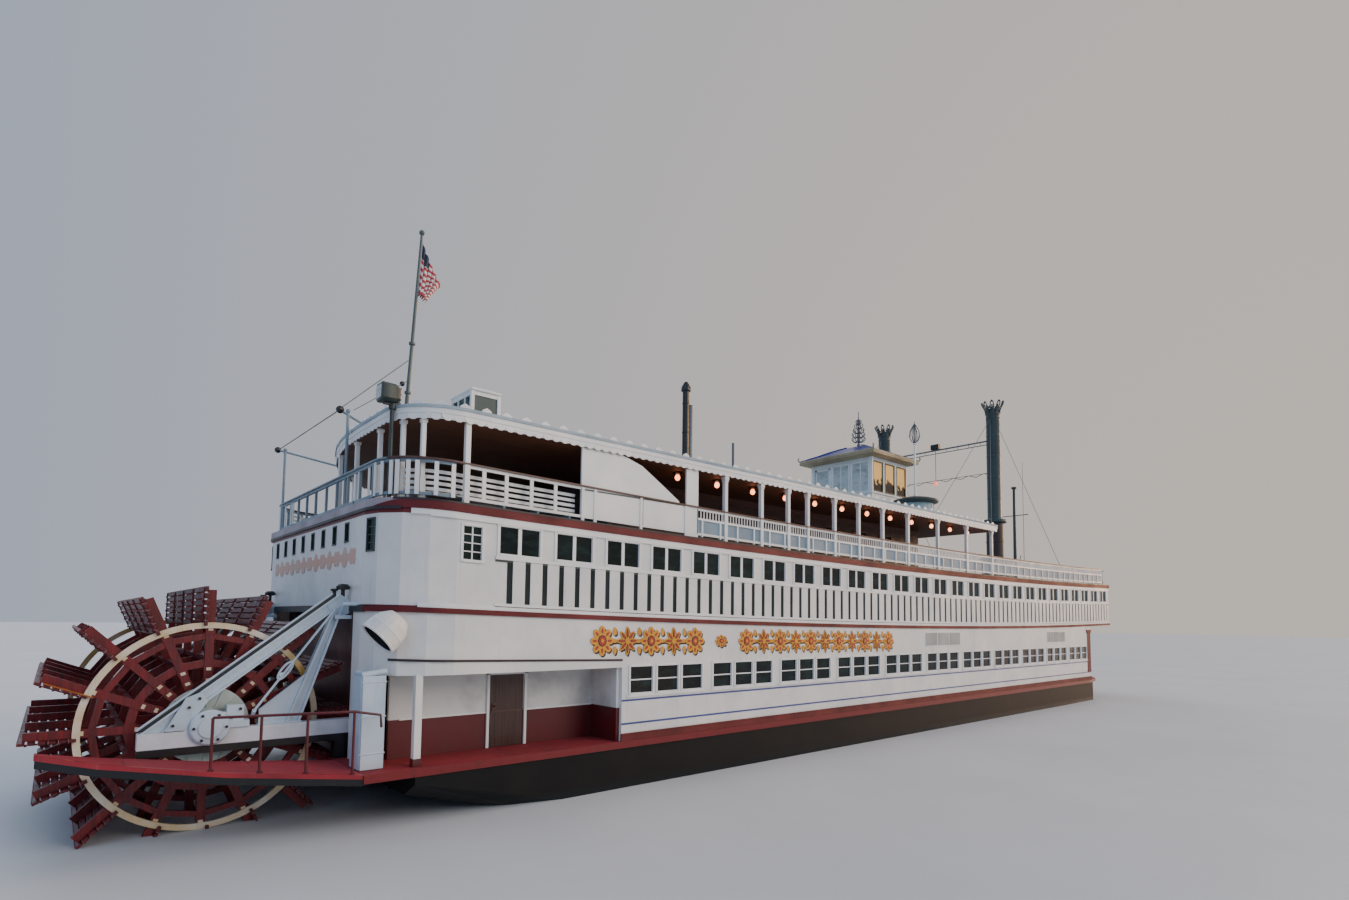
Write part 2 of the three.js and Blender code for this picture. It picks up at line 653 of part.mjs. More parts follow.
// Pilothouse on the roof
const PILOT = { x0: 28.75, x1: 32.5, y: 2.13, sill: 14.3, head: 16.0, eave: 16.25, crown: 17.5 };
const PILOT_DOOR_LOW = 12.6;
const PILOT_LOW = ROOF_CROWN + GAP;
function pilotSide() {
  const { x0, x1, sill, head, eave } = PILOT;
  const bay = (x1 - x0) / 3;
  const starts = [0, 1, 2].map((i) => x0 + bay * i);
  const holes = starts.map((x) => rectangle(x + 0.15, x + bay - 0.15, sill, head));
  return sideways(rectangle(x0, x1, PILOT_LOW, eave - GAP), -PILOT.y, -PILOT.y + WALL, holes);
}
// An end wall has three bays, each a window or a doorway from the given height
function pilotEnd(x, lows) {
  const y = PILOT.y - WALL - GAP;
  const bay = (2 * y) / lows.length;
  const holes = lows.map((low, i) => {
    const start = -y + bay * i;
    return rectangle(start + 0.12, start + bay - 0.12, low, PILOT.head);
  });
  return endways(rectangle(-y, y, PILOT_LOW, PILOT.eave - GAP), x, x + WALL, holes);
}
placePair('pilothouse_side', pilotSide, WHITE);
place('pilothouse_aft', pilotEnd(PILOT.x0, [PILOT.sill, PILOT.sill, PILOT_DOOR_LOW]), WHITE);
place('pilothouse_front', pilotEnd(PILOT.x1 - WALL, [PILOT.sill, PILOT.sill, PILOT.sill]), WHITE);

// Rings of the pilothouse roof: share of the half lengths, and height
const PILOT_OVER = { x: 0.62, y: 0.5 };
const PILOT_ROOF_RINGS = [
  [0.86, PILOT.eave], [1, 16.42], [1, 16.55], [0.84, 16.7],
  [0.5, 17.12], [0.2, 17.4], [0.06, PILOT.crown],
];
const PILOT_MID_X = (PILOT.x0 + PILOT.x1) / 2;

function hipRoof(cx, cy, hx, hy, rings) {
  return loft(rings.map(([k, z]) => {
    const [x, y] = [hx * k, hy * k];
    return [[cx - x, cy - y, z], [cx + x, cy - y, z], [cx + x, cy + y, z], [cx - x, cy + y, z]];
  }));
}

// Finial shaped like a fir tree with a long tip: radius, and height over the roof
const FINIAL = [
  [0, -0.1], [0.1, -0.1], [0.1, 0.15], [0.07, 0.25], [0.42, 0.42], [0.38, 0.6],
  [0.25, 1.0], [0.12, 1.45], [0.04, 1.7], [0.025, 2.2], [0, 2.2],
];
function pilotRoof() {
  const halfX = (PILOT.x1 - PILOT.x0) / 2 + PILOT_OVER.x;
  const finial = upright(FINIAL.map(([r, z]) => [r, z + PILOT.crown]), PILOT_MID_X, 0, 12);
  return joined([hipRoof(PILOT_MID_X, 0, halfX, PILOT.y + PILOT_OVER.y, PILOT_ROOF_RINGS), finial]);
}
place('pilothouse_roof', pilotRoof(), BLUE);

// Round cupola beside the pilothouse, with a leaf-shaped finial on a tall pole: radius and height
const CUPOLA_AT = [30.9, -3.6];
const CUPOLA_PROFILE = [
  [0, PILOT_LOW], [1.02, PILOT_LOW], [1.02, 13.55], [1.27, 13.6], [1.27, 13.72], [0.9, 13.88],
  [0.09, 13.98], [0.05, 14.2],
  [0.05, 17.0], [0.12, 17.05], [0.3, 17.45], [0.26, 17.75], [0.1, 18.2], [0.02, 18.4], [0, 18.4],
];
place('roof_cupola', upright(CUPOLA_PROFILE, ...CUPOLA_AT, 20), WHITE);

// Chimneys
const CHIMNEY = { x: 40.07, y: 4.07, r: 0.425, low: 0.52, crownZ: 20.5, top: 21.45 };
const COLLAR = { r: 0.74, z0: 13.3, z1: 13.5 };
function chimney() {
  const { x, y, r, low, crownZ, top } = CHIMNEY;
  const foot = DECK3 + Math.max(sheer(x - low), sheer(x + low)) + GAP;
  const profile = [
    [0, foot], [low, foot], [low, COLLAR.z0], [COLLAR.r, COLLAR.z0], [COLLAR.r, COLLAR.z1],
    [r, COLLAR.z1 + 0.06], [r, crownZ], [0.5, crownZ + 0.5], [0.7, top],
    [0.58, top], [r - 0.02, crownZ + 0.45], [r - 0.08, crownZ + 0.1], [0, crownZ + 0.1],
  ];
  return upright(profile, x, -y, 20);
}
placePair('chimney', chimney, IRON);

// Roof fittings: a capped exhaust with a shorter steam pipe against it, and a glazed box with a hip roof
const EXHAUST = [[0, 0], [0.15, 0], [0.15, 4.3], [0.22, 4.35], [0.22, 4.5], [0.08, 4.75], [0, 4.75]];
const STEAM_PIPE = [[0, 0], [0.12, 0], [0.12, 3.75], [0, 3.75]];
const PIPES_X = [14.38, 14.63];
function steamPipe() {
  const pipes = [EXHAUST, STEAM_PIPE].map((profile) => profile.map(([r, z]) => [r, z + PILOT_LOW]));
  return joined(pipes.map((profile, i) => upright(profile, PIPES_X[i], -2, 12)));
}
place('steam_pipe', steamPipe(), IRON);

const ROOF_BOX = { x: [3.84, 4.8], y: [-3.2, -1.7] };
const ROOF_BOX_RINGS = [[1, PILOT_LOW], [1, 14.12], [1.1, 14.15], [1.1, 14.2], [0.1, 14.5]];
function roofBox() {
  const [cx, cy] = [ROOF_BOX.x, ROOF_BOX.y].map(([low, high]) => (low + high) / 2);
  const [hx, hy] = [ROOF_BOX.x, ROOF_BOX.y].map(([low, high]) => (high - low) / 2);
  return hipRoof(cx, cy, hx, hy, ROOF_BOX_RINGS);
}
place('roof_box', roofBox(), WHITE);

function rakedPole(x0, z0, x1, z1, y, r) {
  const line = new THREE.LineCurve3(new THREE.Vector3(x0, y, z0), new THREE.Vector3(x1, y, z1));
  const circle = new THREE.Shape().absarc(0, 0, r, 0, 2 * Math.PI);
  const options = { extrudePath: line, steps: 1, curveSegments: 16, bevelEnabled: false };
  return new THREE.ExtrudeGeometry(circle, options);
}
const FLAGPOLE = { x0: 2.8, z0: ROOF_CROWN + 0.0038, x1: 3.21, z1: 20.6, r: 0.06 };
place('flagpole', rakedPole(FLAGPOLE.x0, FLAGPOLE.z0, FLAGPOLE.x1, FLAGPOLE.z1, 0, FLAGPOLE.r), WHITE);

// Limp flag: the after edge lies along the pole, the rest hangs down in folds
const FLAG_HOIST = [18.3, 20.25];
const FLAG_FREE_EDGE = [[3.5, 20.18], [3.62, 19.6], [3.95, 18.95], [3.82, 18.25], [3.45, 18.02]];
const FLAG_HALF_THICK = 0.07;
function flag() {
  const slope = (FLAGPOLE.x1 - FLAGPOLE.x0) / (FLAGPOLE.z1 - FLAGPOLE.z0);
  const clear = FLAGPOLE.r * Math.hypot(1, slope) + 0.7 * GAP;
  const beside = (z) => FLAGPOLE.x0 + slope * (z - FLAGPOLE.z0) + clear;
  const hoist = FLAG_HOIST.map((z) => [beside(z), z]);
  return sideways([...hoist, ...FLAG_FREE_EDGE], -FLAG_HALF_THICK, FLAG_HALF_THICK);
}
place('flag', flag(), CLOTH);

const MAST = { x: 52.9, r: 0.14, top: 18 };
const mastFoot = DECK3 + Math.max(sheer(MAST.x - MAST.r), sheer(MAST.x + MAST.r)) + GAP;
const MAST_PROFILE = [
  [0, mastFoot], [MAST.r, mastFoot], [0.1, MAST.top - 0.2],
  [0.2, MAST.top - 0.15], [0.2, MAST.top], [0, MAST.top],
];
place('bow_mast', upright(MAST_PROFILE, MAST.x, 0, 12), WHITE);

const CAPSTAN_X = 51;
const CAPSTAN_PROFILE = [
  [0, 0], [0.45, 0], [0.4, 0.1], [0.25, 0.3], [0.25, 0.75], [0.4, 0.95], [0.4, 1.1], [0, 1.1],
];
const capstan = upright(CAPSTAN_PROFILE.map(([r, z]) => [r, z + MAIN_DECK + GAP]), CAPSTAN_X, 0, 16);
place('capstan', capstan, IRON);

// Stern gear: beams that carry the wheel, their braces, and the fantail guards
const BEAM_TOP = 3.95;

function wheelBeam() {
  const low = MAIN_DECK + GAP;
  const forward = BULKHEAD_X - GAP;
  const outline = [
    [forward, low], [forward, BEAM_TOP], [-2.62, BEAM_TOP], [-2.72, 4.34], [-3.52, 4.34],
    [-3.62, BEAM_TOP], [-4.5, BEAM_TOP], [-4.5, 3.4], [-0.3, 3.4], [-0.3, low],
  ];
  const bore = ring(SHAFT_BORE_R, SHAFT_SIDES, WHEEL.x, WHEEL.z);
  return sideways(outline, -BEAM_Y - BEAM_W / 2, -BEAM_Y + BEAM_W / 2, [bore]);
}
placePair('wheel_beam', wheelBeam, WHITE);

function brace() {
  const foot = BEAM_TOP + GAP;
  const outline = [
    [-4.45, foot], [-4.1, foot], [-0.55, 6.75], [-1.5, foot], [-0.6, foot],
    [-GAP, 6.8], [-GAP, 7.1], [-0.3, 7.3],
  ];
  return sideways(outline, -BEAM_Y - 0.11, -BEAM_Y + 0.11);
}
placePair('beam_brace', brace, WHITE);

const GUARD_THICK = 0.25;
const GUARD_IN_Y = 4.6;
// Columns: x, outer y, top height
const GUARD_ROWS = [[DECK_AFT_X - GAP, 7, MAIN_DECK], [-3, 6.3, 3.2], [-5.2, 5.6, 3.55], [-6.2, 5, 3.75]];
function fantailGuard() {
  return loft(GUARD_ROWS.map(([x, outer, top]) => {
    const low = top - GUARD_THICK;
    return [[x, -GUARD_IN_Y, low], [x, -outer, low], [x, -outer, top], [x, -GUARD_IN_Y, top]];
  }));
}
placePair('fantail_guard', fantailGuard, RED);

// Paddle wheel: shaft, arm frames, and the buckets carried by two end rings
const wheel = new THREE.Group();
wheel.position.set(WHEEL.x, 0, WHEEL.z);
boat.add(wheel);

const shaft = new THREE.CylinderGeometry(SHAFT_R, SHAFT_R, 2 * (BEAM_Y + 0.3), SHAFT_SIDES);
place('wheel_shaft', shaft, IRON, wheel);

const ARM_HALF = 0.09;
const FRAME_THICK = 0.14;
function armFrame() {
  const outline = [];
  const armEnd = WHEEL.tip - 0.12;
  for (let k = 0; k < WHEEL_ARMS; k += 1) {
    const a = (k * 2 * Math.PI) / WHEEL_ARMS;
    const radial = [Math.cos(a), Math.sin(a)];
    const across = [-radial[1], radial[0]];
    const corners = [[HUB_R, -ARM_HALF], [armEnd, -ARM_HALF], [armEnd, ARM_HALF], [HUB_R, ARM_HALF]];
    for (const [r, s] of corners) {
      outline.push([radial[0] * r + across[0] * s, radial[1] * r + across[1] * s]);
    }
  }
  return sideways(outline, -FRAME_THICK / 2, FRAME_THICK / 2, [ring(SHAFT_BORE_R, SHAFT_SIDES)]);
}
for (let i = 0; i < WHEEL_FRAMES; i += 1) {
  const reach = WHEEL.ringY - RING_THICK / 2 - FRAME_THICK / 2 - GAP;
  const frame = place(`wheel_frame_${i + 1}`, armFrame(), WHEEL_RED, wheel);
  frame.position.y = -reach + (2 * reach * i) / (WHEEL_FRAMES - 1);
}

const BUCKET_THICK = 0.07;
function buckets() {
  const pieces = [];
  for (let k = 0; k < WHEEL_ARMS; k += 1) {
    const side = ARM_HALF + GAP + 0.001;
    const low = WHEEL.ringIn + 0.06;
    const board = box(low, WHEEL.tip, -WHEEL.halfWidth, WHEEL.halfWidth, side, side + BUCKET_THICK);
    pieces.push(board.rotateY(-(k * 2 * Math.PI) / WHEEL_ARMS));
  }
  for (const y of [-WHEEL.ringY, WHEEL.ringY]) {
    const inner = [ring(WHEEL.ringIn, RING_SIDES)];
    const [y0, y1] = [y - RING_THICK / 2, y + RING_THICK / 2];
    pieces.push(sideways(ring(WHEEL.ringOut, RING_SIDES), y0, y1, inner));
  }
  return joined(pieces);
}
place('wheel_buckets', buckets(), WHEEL_RED, wheel);

// Rudders under the raked stern, with stocks that reach up to the hull
function rake(x) {
  const [[x0, , z0], [x1, , z1]] = HULL_SECTIONS;
  return z0 - ((x - x0) * (z0 - z1)) / (x1 - x0);
}
const RUDDER_YS = [['starboard', -2.6], ['middle', 0], ['port', 2.6]];
const RUDDER = { x: 1.9, z0: 0.3, z1: 1.45, aft: 0.35, fwd: 2.7 };
const RUDDER_STOCK_R = 0.09;
function rudder() {
  const blade = box(RUDDER.aft - RUDDER.x, RUDDER.fwd - RUDDER.x, -0.05, 0.05, RUDDER.z0, RUDDER.z1);
  const top = rake(RUDDER.x + RUDDER_STOCK_R) - GAP;
  const profile = [[0, RUDDER.z0], [RUDDER_STOCK_R, RUDDER.z0], [RUDDER_STOCK_R, top], [0, top]];
  const stock = upright(profile, 0, 0, 12);
  return joined([blade, stock]);
}
for (const [side, y] of RUDDER_YS) {
  const mesh = place(`rudder_${side}`, rudder(), IRON);
  mesh.position.set(RUDDER.x, y, 0);
}

// The model: 1:2, in millimetres, centred on its length
const model = new THREE.Group();
boat.scale.setScalar(MODEL_MM_PER_METRE);
boat.position.x = -MID_X * MODEL_MM_PER_METRE;
model.add(boat);

export default model;
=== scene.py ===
# Looks of the stern-wheel paddle steamer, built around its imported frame.
#
# Shapes are written in metres of the full-size boat, as its solids are: x forward from the upper
# stern wall, y to port, z up from the flat bottom. Each finished piece is then halved into the model.
import math

import bmesh
import bpy
from mathutils import Matrix, Vector


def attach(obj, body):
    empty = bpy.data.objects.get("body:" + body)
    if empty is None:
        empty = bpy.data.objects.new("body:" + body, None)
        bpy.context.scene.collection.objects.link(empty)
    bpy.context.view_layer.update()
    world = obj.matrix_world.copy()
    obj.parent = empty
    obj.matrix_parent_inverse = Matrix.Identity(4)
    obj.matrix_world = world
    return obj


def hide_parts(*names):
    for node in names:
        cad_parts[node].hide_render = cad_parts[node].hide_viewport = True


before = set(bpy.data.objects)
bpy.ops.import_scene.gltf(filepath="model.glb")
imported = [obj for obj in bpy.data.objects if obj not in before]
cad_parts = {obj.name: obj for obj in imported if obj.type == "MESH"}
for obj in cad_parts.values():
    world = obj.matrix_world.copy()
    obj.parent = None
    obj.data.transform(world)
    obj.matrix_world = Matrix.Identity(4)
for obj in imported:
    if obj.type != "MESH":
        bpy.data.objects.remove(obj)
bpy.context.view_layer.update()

# Frame of the model
MID_X = 24.025
HALF = 0.5
INTO_MODEL = Matrix.Scale(HALF, 4) @ Matrix.Translation((-MID_X, 0, 0))
WATERLINE = 0.75

# Dimensions shared with the solids
HALF_BEAM = 7.0
DECK3 = 9.357
ROOF_UNDER = 11.95
QUARTER_R = 1.8
FRONT_X, FRONT_DEPTH = 51.9, 2.4
RAIL_TOP = DECK3 + 1.1
RAIL_Y = 6.78
ROOF_AFT_X, ROOF_FWD_X, ROOF_HALF, ROOF_R = 0.42, 34.1, 6.85, 1.6
ROOF_SWEEP_X, ROOF_SWEEP_Y = 6.0, 9.85
ROOF_ROWS = (0, 0.05, 0.12, 0.3, 0.6, 1.05, 1.6, 2.5, 3.6, 4.8, 6)
SHEER_LOW_X, SHEER_RATE, KNOT = 28.7, 0.0005, 4
WHEEL_AT = (-3.12, 0, 4.0)
PILOT_X, PILOT_Y = (28.75, 32.5), 2.13
PILOT_SILL, PILOT_HEAD, PILOT_EAVE = 14.3, 16.0, 16.25
ROOF_FOOT = 12.4508
CHIMNEY_X, CHIMNEY_Y = 40.07, 4.07
SIDES = (("starboard", -1), ("port", 1))


def sheer(x):
    """Rise of the upper decks at x, straight between knots as the solids have it."""
    left = math.floor(x / KNOT) * KNOT
    part = (x - left) / KNOT
    low = SHEER_RATE * (left - SHEER_LOW_X) ** 2
    high = SHEER_RATE * (left + KNOT - SHEER_LOW_X) ** 2
    return low * (1 - part) + high * part


# Shapes


class Shape:
    """Points and faces of one piece, with a finish number for each face."""

    def __init__(self):
        self.points, self.faces, self.marks = [], [], []
        self.mark = 0

    def add(self, points, faces):
        start = len(self.points)
        self.points.extend(tuple(p) for p in points)
        self.faces.extend(tuple(start + i for i in face) for face in faces)
        self.marks.extend([self.mark] * len(faces))
        return self

    def box(self, x0, x1, y0, y1, z0, z1):
        points = [(x, y, z) for x in (x0, x1) for y in (y0, y1) for z in (z0, z1)]
        faces = [(0, 1, 3, 2), (4, 6, 7, 5), (0, 4, 5, 1), (2, 3, 7, 6), (0, 2, 6, 4), (1, 5, 7, 3)]
        return self.add(points, faces)

    def layers(self, rings, closed=True, caps=True):
        """Skin through rings that have the same number of points."""
        count = len(rings[0])
        points = [p for ring in rings for p in ring]
        faces = []
        for r in range(len(rings) - 1):
            for i in range(count if closed else count - 1):
                a, b = r * count + i, r * count + (i + 1) % count
                faces.append((a, b, b + count, a + count))
        if caps:
            faces.append(tuple(range(count))[::-1])
            faces.append(tuple(range((len(rings) - 1) * count, len(rings) * count)))
        return self.add(points, faces)

    def prism(self, outline, y0, y1):
        """Solid with its outline drawn in x and z, between two y."""
        return self.layers([[(x, y, z) for x, z in outline] for y in (y0, y1)])

    def tube(self, a, b, r, sides=8, r_end=None):
        a, b = Vector(a), Vector(b)
        along = (b - a).normalized()
        side = along.orthogonal().normalized()
        up = along.cross(side)
        rings = []
        for centre, radius in ((a, r), (b, r if r_end is None else r_end)):
            turns = [2 * math.pi * k / sides for k in range(sides)]
            rings.append([centre + radius * (math.cos(t) * side + math.sin(t) * up) for t in turns])
        return self.layers(rings)

    def path(self, points, r, sides=8):
        """Round bar bent through points."""
        points = [Vector(p) for p in points]
        rings = []
        side = (points[1] - points[0]).normalized().orthogonal().normalized()
        for i, p in enumerate(points):
            along = (points[min(i + 1, len(points) - 1)] - points[max(i - 1, 0)]).normalized()
            side = (side - along * side.dot(along)).normalized()
            up = along.cross(side)
            turns = [2 * math.pi * k / sides for k in range(sides)]
            rings.append([p + r * (math.cos(t) * side + math.sin(t) * up) for t in turns])
        return self.layers(rings)

    def lathe(self, profile, centre, sides=24, axis="z"):
        """Profile of radius and height turned about an axis through centre."""
        rings = []
        for r, h in profile:
            ring = []
            for k in range(sides):
                c, s = math.cos(2 * math.pi * k / sides), math.sin(2 * math.pi * k / sides)
                local = {"z": (r * c, r * s, h), "y": (r * c, h, r * s), "x": (h, r * c, r * s)}[axis]
                ring.append(tuple(p + q for p, q in zip(centre, local)))
            rings.append(ring)
        return self.layers(rings)

    def ball(self, centre, r, sides=12):
        steps = [math.pi * k / 8 for k in range(9)]
        profile = [(max(r * math.sin(t), 0.02 * r), -r * math.cos(t)) for t in steps]
        return self.lathe(profile, centre, sides)

    def band(self, line, z0, z1, thick, sheered=True):
        """Upright strip along points in plan, with its outer face on them; z1 may be a list."""
        inner = offset(line, -thick)
        tops = z1 if isinstance(z1, list) else [z1] * len(line)
        rings = []
        for (x, y), (u, v), top in zip(line, inner, tops):
            rise = sheer(x) if sheered else 0.0
            rings.append([(x, y, z0 + rise), (x, y, top + rise), (u, v, top + rise), (u, v, z0 + rise)])
        return self.layers(rings)

    def join(self, other):
        start = len(self.points)
        self.points.extend(other.points)
        self.faces.extend(tuple(start + i for i in face) for face in other.faces)
        self.marks.extend(other.marks)
        return self

    def turned(self, centre, direction):
        """A copy of a piece made about z, laid along a direction at a centre."""
        turn = Vector((0, 0, 1)).rotation_difference(Vector(direction)).to_matrix().to_4x4()
        return self.moved(Matrix.Translation(centre) @ turn)

    def moved(self, matrix):
        copy = Shape()
        copy.points = [tuple(matrix @ Vector(p)) for p in self.points]
        flip = matrix.to_3x3().determinant() < 0
        copy.faces = [f[::-1] if flip else f for f in self.faces]
        copy.marks = list(self.marks)
        return copy

    def both_sides(self):
        """The starboard piece and its mirror image."""
        return self.join(self.moved(Matrix.Scale(-1, 4, (0, 1, 0))))


def offset(line, distance):
    """Points in plan moved along the outward side of the line they make."""
    moved = []
    for i, (x, y) in enumerate(line):
        x0, y0 = line[max(i - 1, 0)]
        x1, y1 = line[min(i + 1, len(line) - 1)]
        length = math.hypot(x1 - x0, y1 - y0)
        moved.append((x + distance * (y1 - y0) / length, y - distance * (x1 - x0) / length))
    return moved


def hoop(section, centre=(0, 0, 0), axis="z", sides=48):
    """Closed section of radius and height turned about an axis."""
    rings = []
    for k in range(sides + 1):
        c, s = math.cos(math.tau * k / sides), math.sin(math.tau * k / sides)
        ring = []
        for r, h in section:
            local = {"z": (r * c, r * s, h), "y": (r * c, h, r * s), "x": (h, r * c, r * s)}[axis]
            ring.append(tuple(p + q for p, q in zip(centre, local)))
        rings.append(ring)
    return Shape().layers(rings, caps=False)


def round_bar(radius, r, around=8):
    """Section of a round bar for a hoop."""
    turns = [math.tau * k / around for k in range(around)]
    return [(radius + r * math.cos(t), r * math.sin(t)) for t in turns]


def stations(x0, x1):
    knots = [k * KNOT for k in range(int(x0 // KNOT) + 1, int(x1 // KNOT) + 1) if x0 < k * KNOT < x1]
    return [x0, *knots, x1]


def deck_line(out=0.0, x_end=None):
    """Edge of the upper decks in plan, from the port quarter round the stern, along to starboard."""
    half = []
    for k in range(13):
        a = math.radians(90 * k / 12)
        r = QUARTER_R + out
        half.append((QUARTER_R - r * math.cos(a), -(HALF_BEAM - QUARTER_R) - r * math.sin(a)))
    if x_end is not None:
        half.extend((x, -HALF_BEAM - out) for x in stations(QUARTER_R, x_end)[1:])
        return [(x, -y) for x, y in reversed(half)] + half
    half.extend((x, -HALF_BEAM - out) for x in stations(QUARTER_R, FRONT_X)[1:])
    for k in range(1, 19):
        a = math.radians(90 * k / 18)
        half.append((FRONT_X + (FRONT_DEPTH + out) * math.sin(a), -(HALF_BEAM + out) * math.cos(a)))
    return half


# Finished pieces


def into_model(obj):
    obj.data.transform(INTO_MODEL)
    obj.data.update()


def dress(obj, materials, body, replaces, smooth, bevel):
    marks = [face.material_index for face in obj.data.polygons]
    obj.data.materials.clear()
    for material in materials:
        obj.data.materials.append(material)
    obj.data.polygons.foreach_set("material_index", marks)
    edit = bmesh.new()
    edit.from_mesh(obj.data)
    bmesh.ops.recalc_face_normals(edit, faces=edit.faces)
    edit.to_mesh(obj.data)
    edit.free()
    into_model(obj)
    obj.data.polygons.foreach_set("use_smooth", [True] * len(obj.data.polygons))
    obj.data.set_sharp_from_angle(angle=math.radians(smooth))
    if bevel:
        rounding = obj.modifiers.new("rounded edges", "BEVEL")
        rounding.width = bevel * HALF
        rounding.segments = 1 if len(marks) > 900 else 2
        rounding.limit_method = "ANGLE"
        rounding.angle_limit = math.radians(40)
    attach(obj, body)
    if replaces:
        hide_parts(*replaces)
    return obj


def piece(name, shape, *materials, body="boat", replaces=(), smooth=35, bevel=0.0):
    """Makes a shape a finished object that rides on a body."""
    mesh = bpy.data.meshes.new(name)
    mesh.from_pydata(shape.points, [], shape.faces)
    mesh.polygons.foreach_set("material_index", shape.marks)
    obj = bpy.data.objects.new(name, mesh)
    bpy.context.scene.collection.objects.link(obj)
    return dress(obj, materials, body, replaces, smooth, bevel)


# Node trees


def add(tree, kind, values=None, **settings):
    """Adds a node with its settings; values maps a socket to a value or to another node's socket."""
    node = tree.nodes.new(kind)
    for key, value in settings.items():
        setattr(node, key, value)
    for key, value in (values or {}).items():
        if isinstance(value, bpy.types.NodeSocket):
            tree.links.new(value, node.inputs[key])
        else:
            node.inputs[key].default_value = value
    return node


INPUT_TYPES = {
    "Unit": "NodeSocketObject", "Finish": "NodeSocketMaterial", "Count": "NodeSocketInt",
    "Start": "NodeSocketVector", "Step": "NodeSocketVector", "Sheer": "NodeSocketFloat",
    "Centre": "NodeSocketVector", "Turn": "NodeSocketVector",
}


def new_tree(name, *inputs):
    tree = bpy.data.node_groups.new(name, "GeometryNodeTree")
    tree.interface.new_socket("Geometry", in_out="INPUT", socket_type="NodeSocketGeometry")
    for key in inputs:
        tree.interface.new_socket(key, in_out="INPUT", socket_type=INPUT_TYPES[key])
    tree.interface.new_socket("Geometry", in_out="OUTPUT", socket_type="NodeSocketGeometry")
    return tree, tree.nodes.new("NodeGroupInput").outputs


def end_tree(tree, given, geometry, sheered):
    """Ends a tree: real geometry, lifted along the sheer where asked, in its finish."""
    real = add(tree, "GeometryNodeRealizeInstances", {"Geometry": geometry}).outputs["Geometry"]
    if sheered:
        at = add(tree, "ShaderNodeSeparateXYZ", {0: add(tree, "GeometryNodeInputPosition").outputs[0]})
        away = add(tree, "ShaderNodeMath", {0: at.outputs["X"], 1: SHEER_LOW_X}, operation="SUBTRACT")
        square = add(tree, "ShaderNodeMath", {0: away.outputs[0], 1: 2.0}, operation="POWER")
        rise = add(tree, "ShaderNodeMath", {0: square.outputs[0], 1: given["Sheer"]}, operation="MULTIPLY")
        lift = add(tree, "ShaderNodeCombineXYZ", {"Z": rise.outputs[0]})
        real = add(tree, "GeometryNodeSetPosition", {"Geometry": real, "Offset": lift.outputs[0]}).outputs[0]
    finish = add(tree, "GeometryNodeSetMaterial", {"Geometry": real, "Material": given["Finish"]})
    add(tree, "NodeGroupOutput", {0: finish.outputs[0]})
    return tree


def row_tree():
    tree, given = new_tree("repeat along a line", "Unit", "Count", "Start", "Step", "Sheer", "Finish")
    unit = add(tree, "GeometryNodeObjectInfo", {"Object": given["Unit"]})
    line = add(tree, "GeometryNodeMeshLine", {"Count": given["Count"], "Start Location": given["Start"],
                                              "Offset": given["Step"]})
    copies = add(tree, "GeometryNodeInstanceOnPoints", {"Points": line.outputs[0],
                                                        "Instance": unit.outputs["Geometry"]})
    return end_tree(tree, given, copies.outputs[0], True)


def spots_tree():
    """Repeats a unit at the object's own points, each turned about z by its turn attribute."""
    tree, given = new_tree("repeat at points", "Unit", "Sheer", "Finish")
    unit = add(tree, "GeometryNodeObjectInfo", {"Object": given["Unit"]})
    turn = add(tree, "GeometryNodeInputNamedAttribute", {"Name": "turn"}, data_type="FLOAT")
    rotation = add(tree, "ShaderNodeCombineXYZ", {"Z": turn.outputs[0]})
    euler = add(tree, "FunctionNodeEulerToRotation", {0: rotation.outputs[0]})
    copies = add(tree, "GeometryNodeInstanceOnPoints", {
        "Points": given["Geometry"], "Rotation": euler.outputs[0], "Instance": unit.outputs["Geometry"],
    })
    return end_tree(tree, given, copies.outputs[0], True)


def ring_tree():
    """Repeats a unit in a ring about z, then turns and moves the ring into place."""
    tree, given = new_tree("repeat in a ring", "Unit", "Count", "Centre", "Turn", "Finish")
    unit = add(tree, "GeometryNodeObjectInfo", {"Object": given["Unit"]})
    line = add(tree, "GeometryNodeMeshLine", {"Count": given["Count"], "Offset": (0.0, 0.0, 0.0)})
    share = add(tree, "ShaderNodeMath", {0: math.tau, 1: given["Count"]}, operation="DIVIDE")
    order = add(tree, "GeometryNodeInputIndex")
    turn = add(tree, "ShaderNodeMath", {0: share.outputs[0], 1: order.outputs[0]}, operation="MULTIPLY")
    rotation = add(tree, "ShaderNodeCombineXYZ", {"Z": turn.outputs[0]})
    euler = add(tree, "FunctionNodeEulerToRotation", {0: rotation.outputs[0]})
    copies = add(tree, "GeometryNodeInstanceOnPoints", {
        "Points": line.outputs[0], "Rotation": euler.outputs[0], "Instance": unit.outputs["Geometry"],
    })
    whole = add(tree, "FunctionNodeEulerToRotation", {0: given["Turn"]})
    placed = add(tree, "GeometryNodeTransform", {"Geometry": copies.outputs[0], "Rotation": whole.outputs[0],
                                                 "Translation": given["Centre"]})
    return end_tree(tree, given, placed.outputs[0], False)


ROW, SPOTS, RING = row_tree(), spots_tree(), ring_tree()


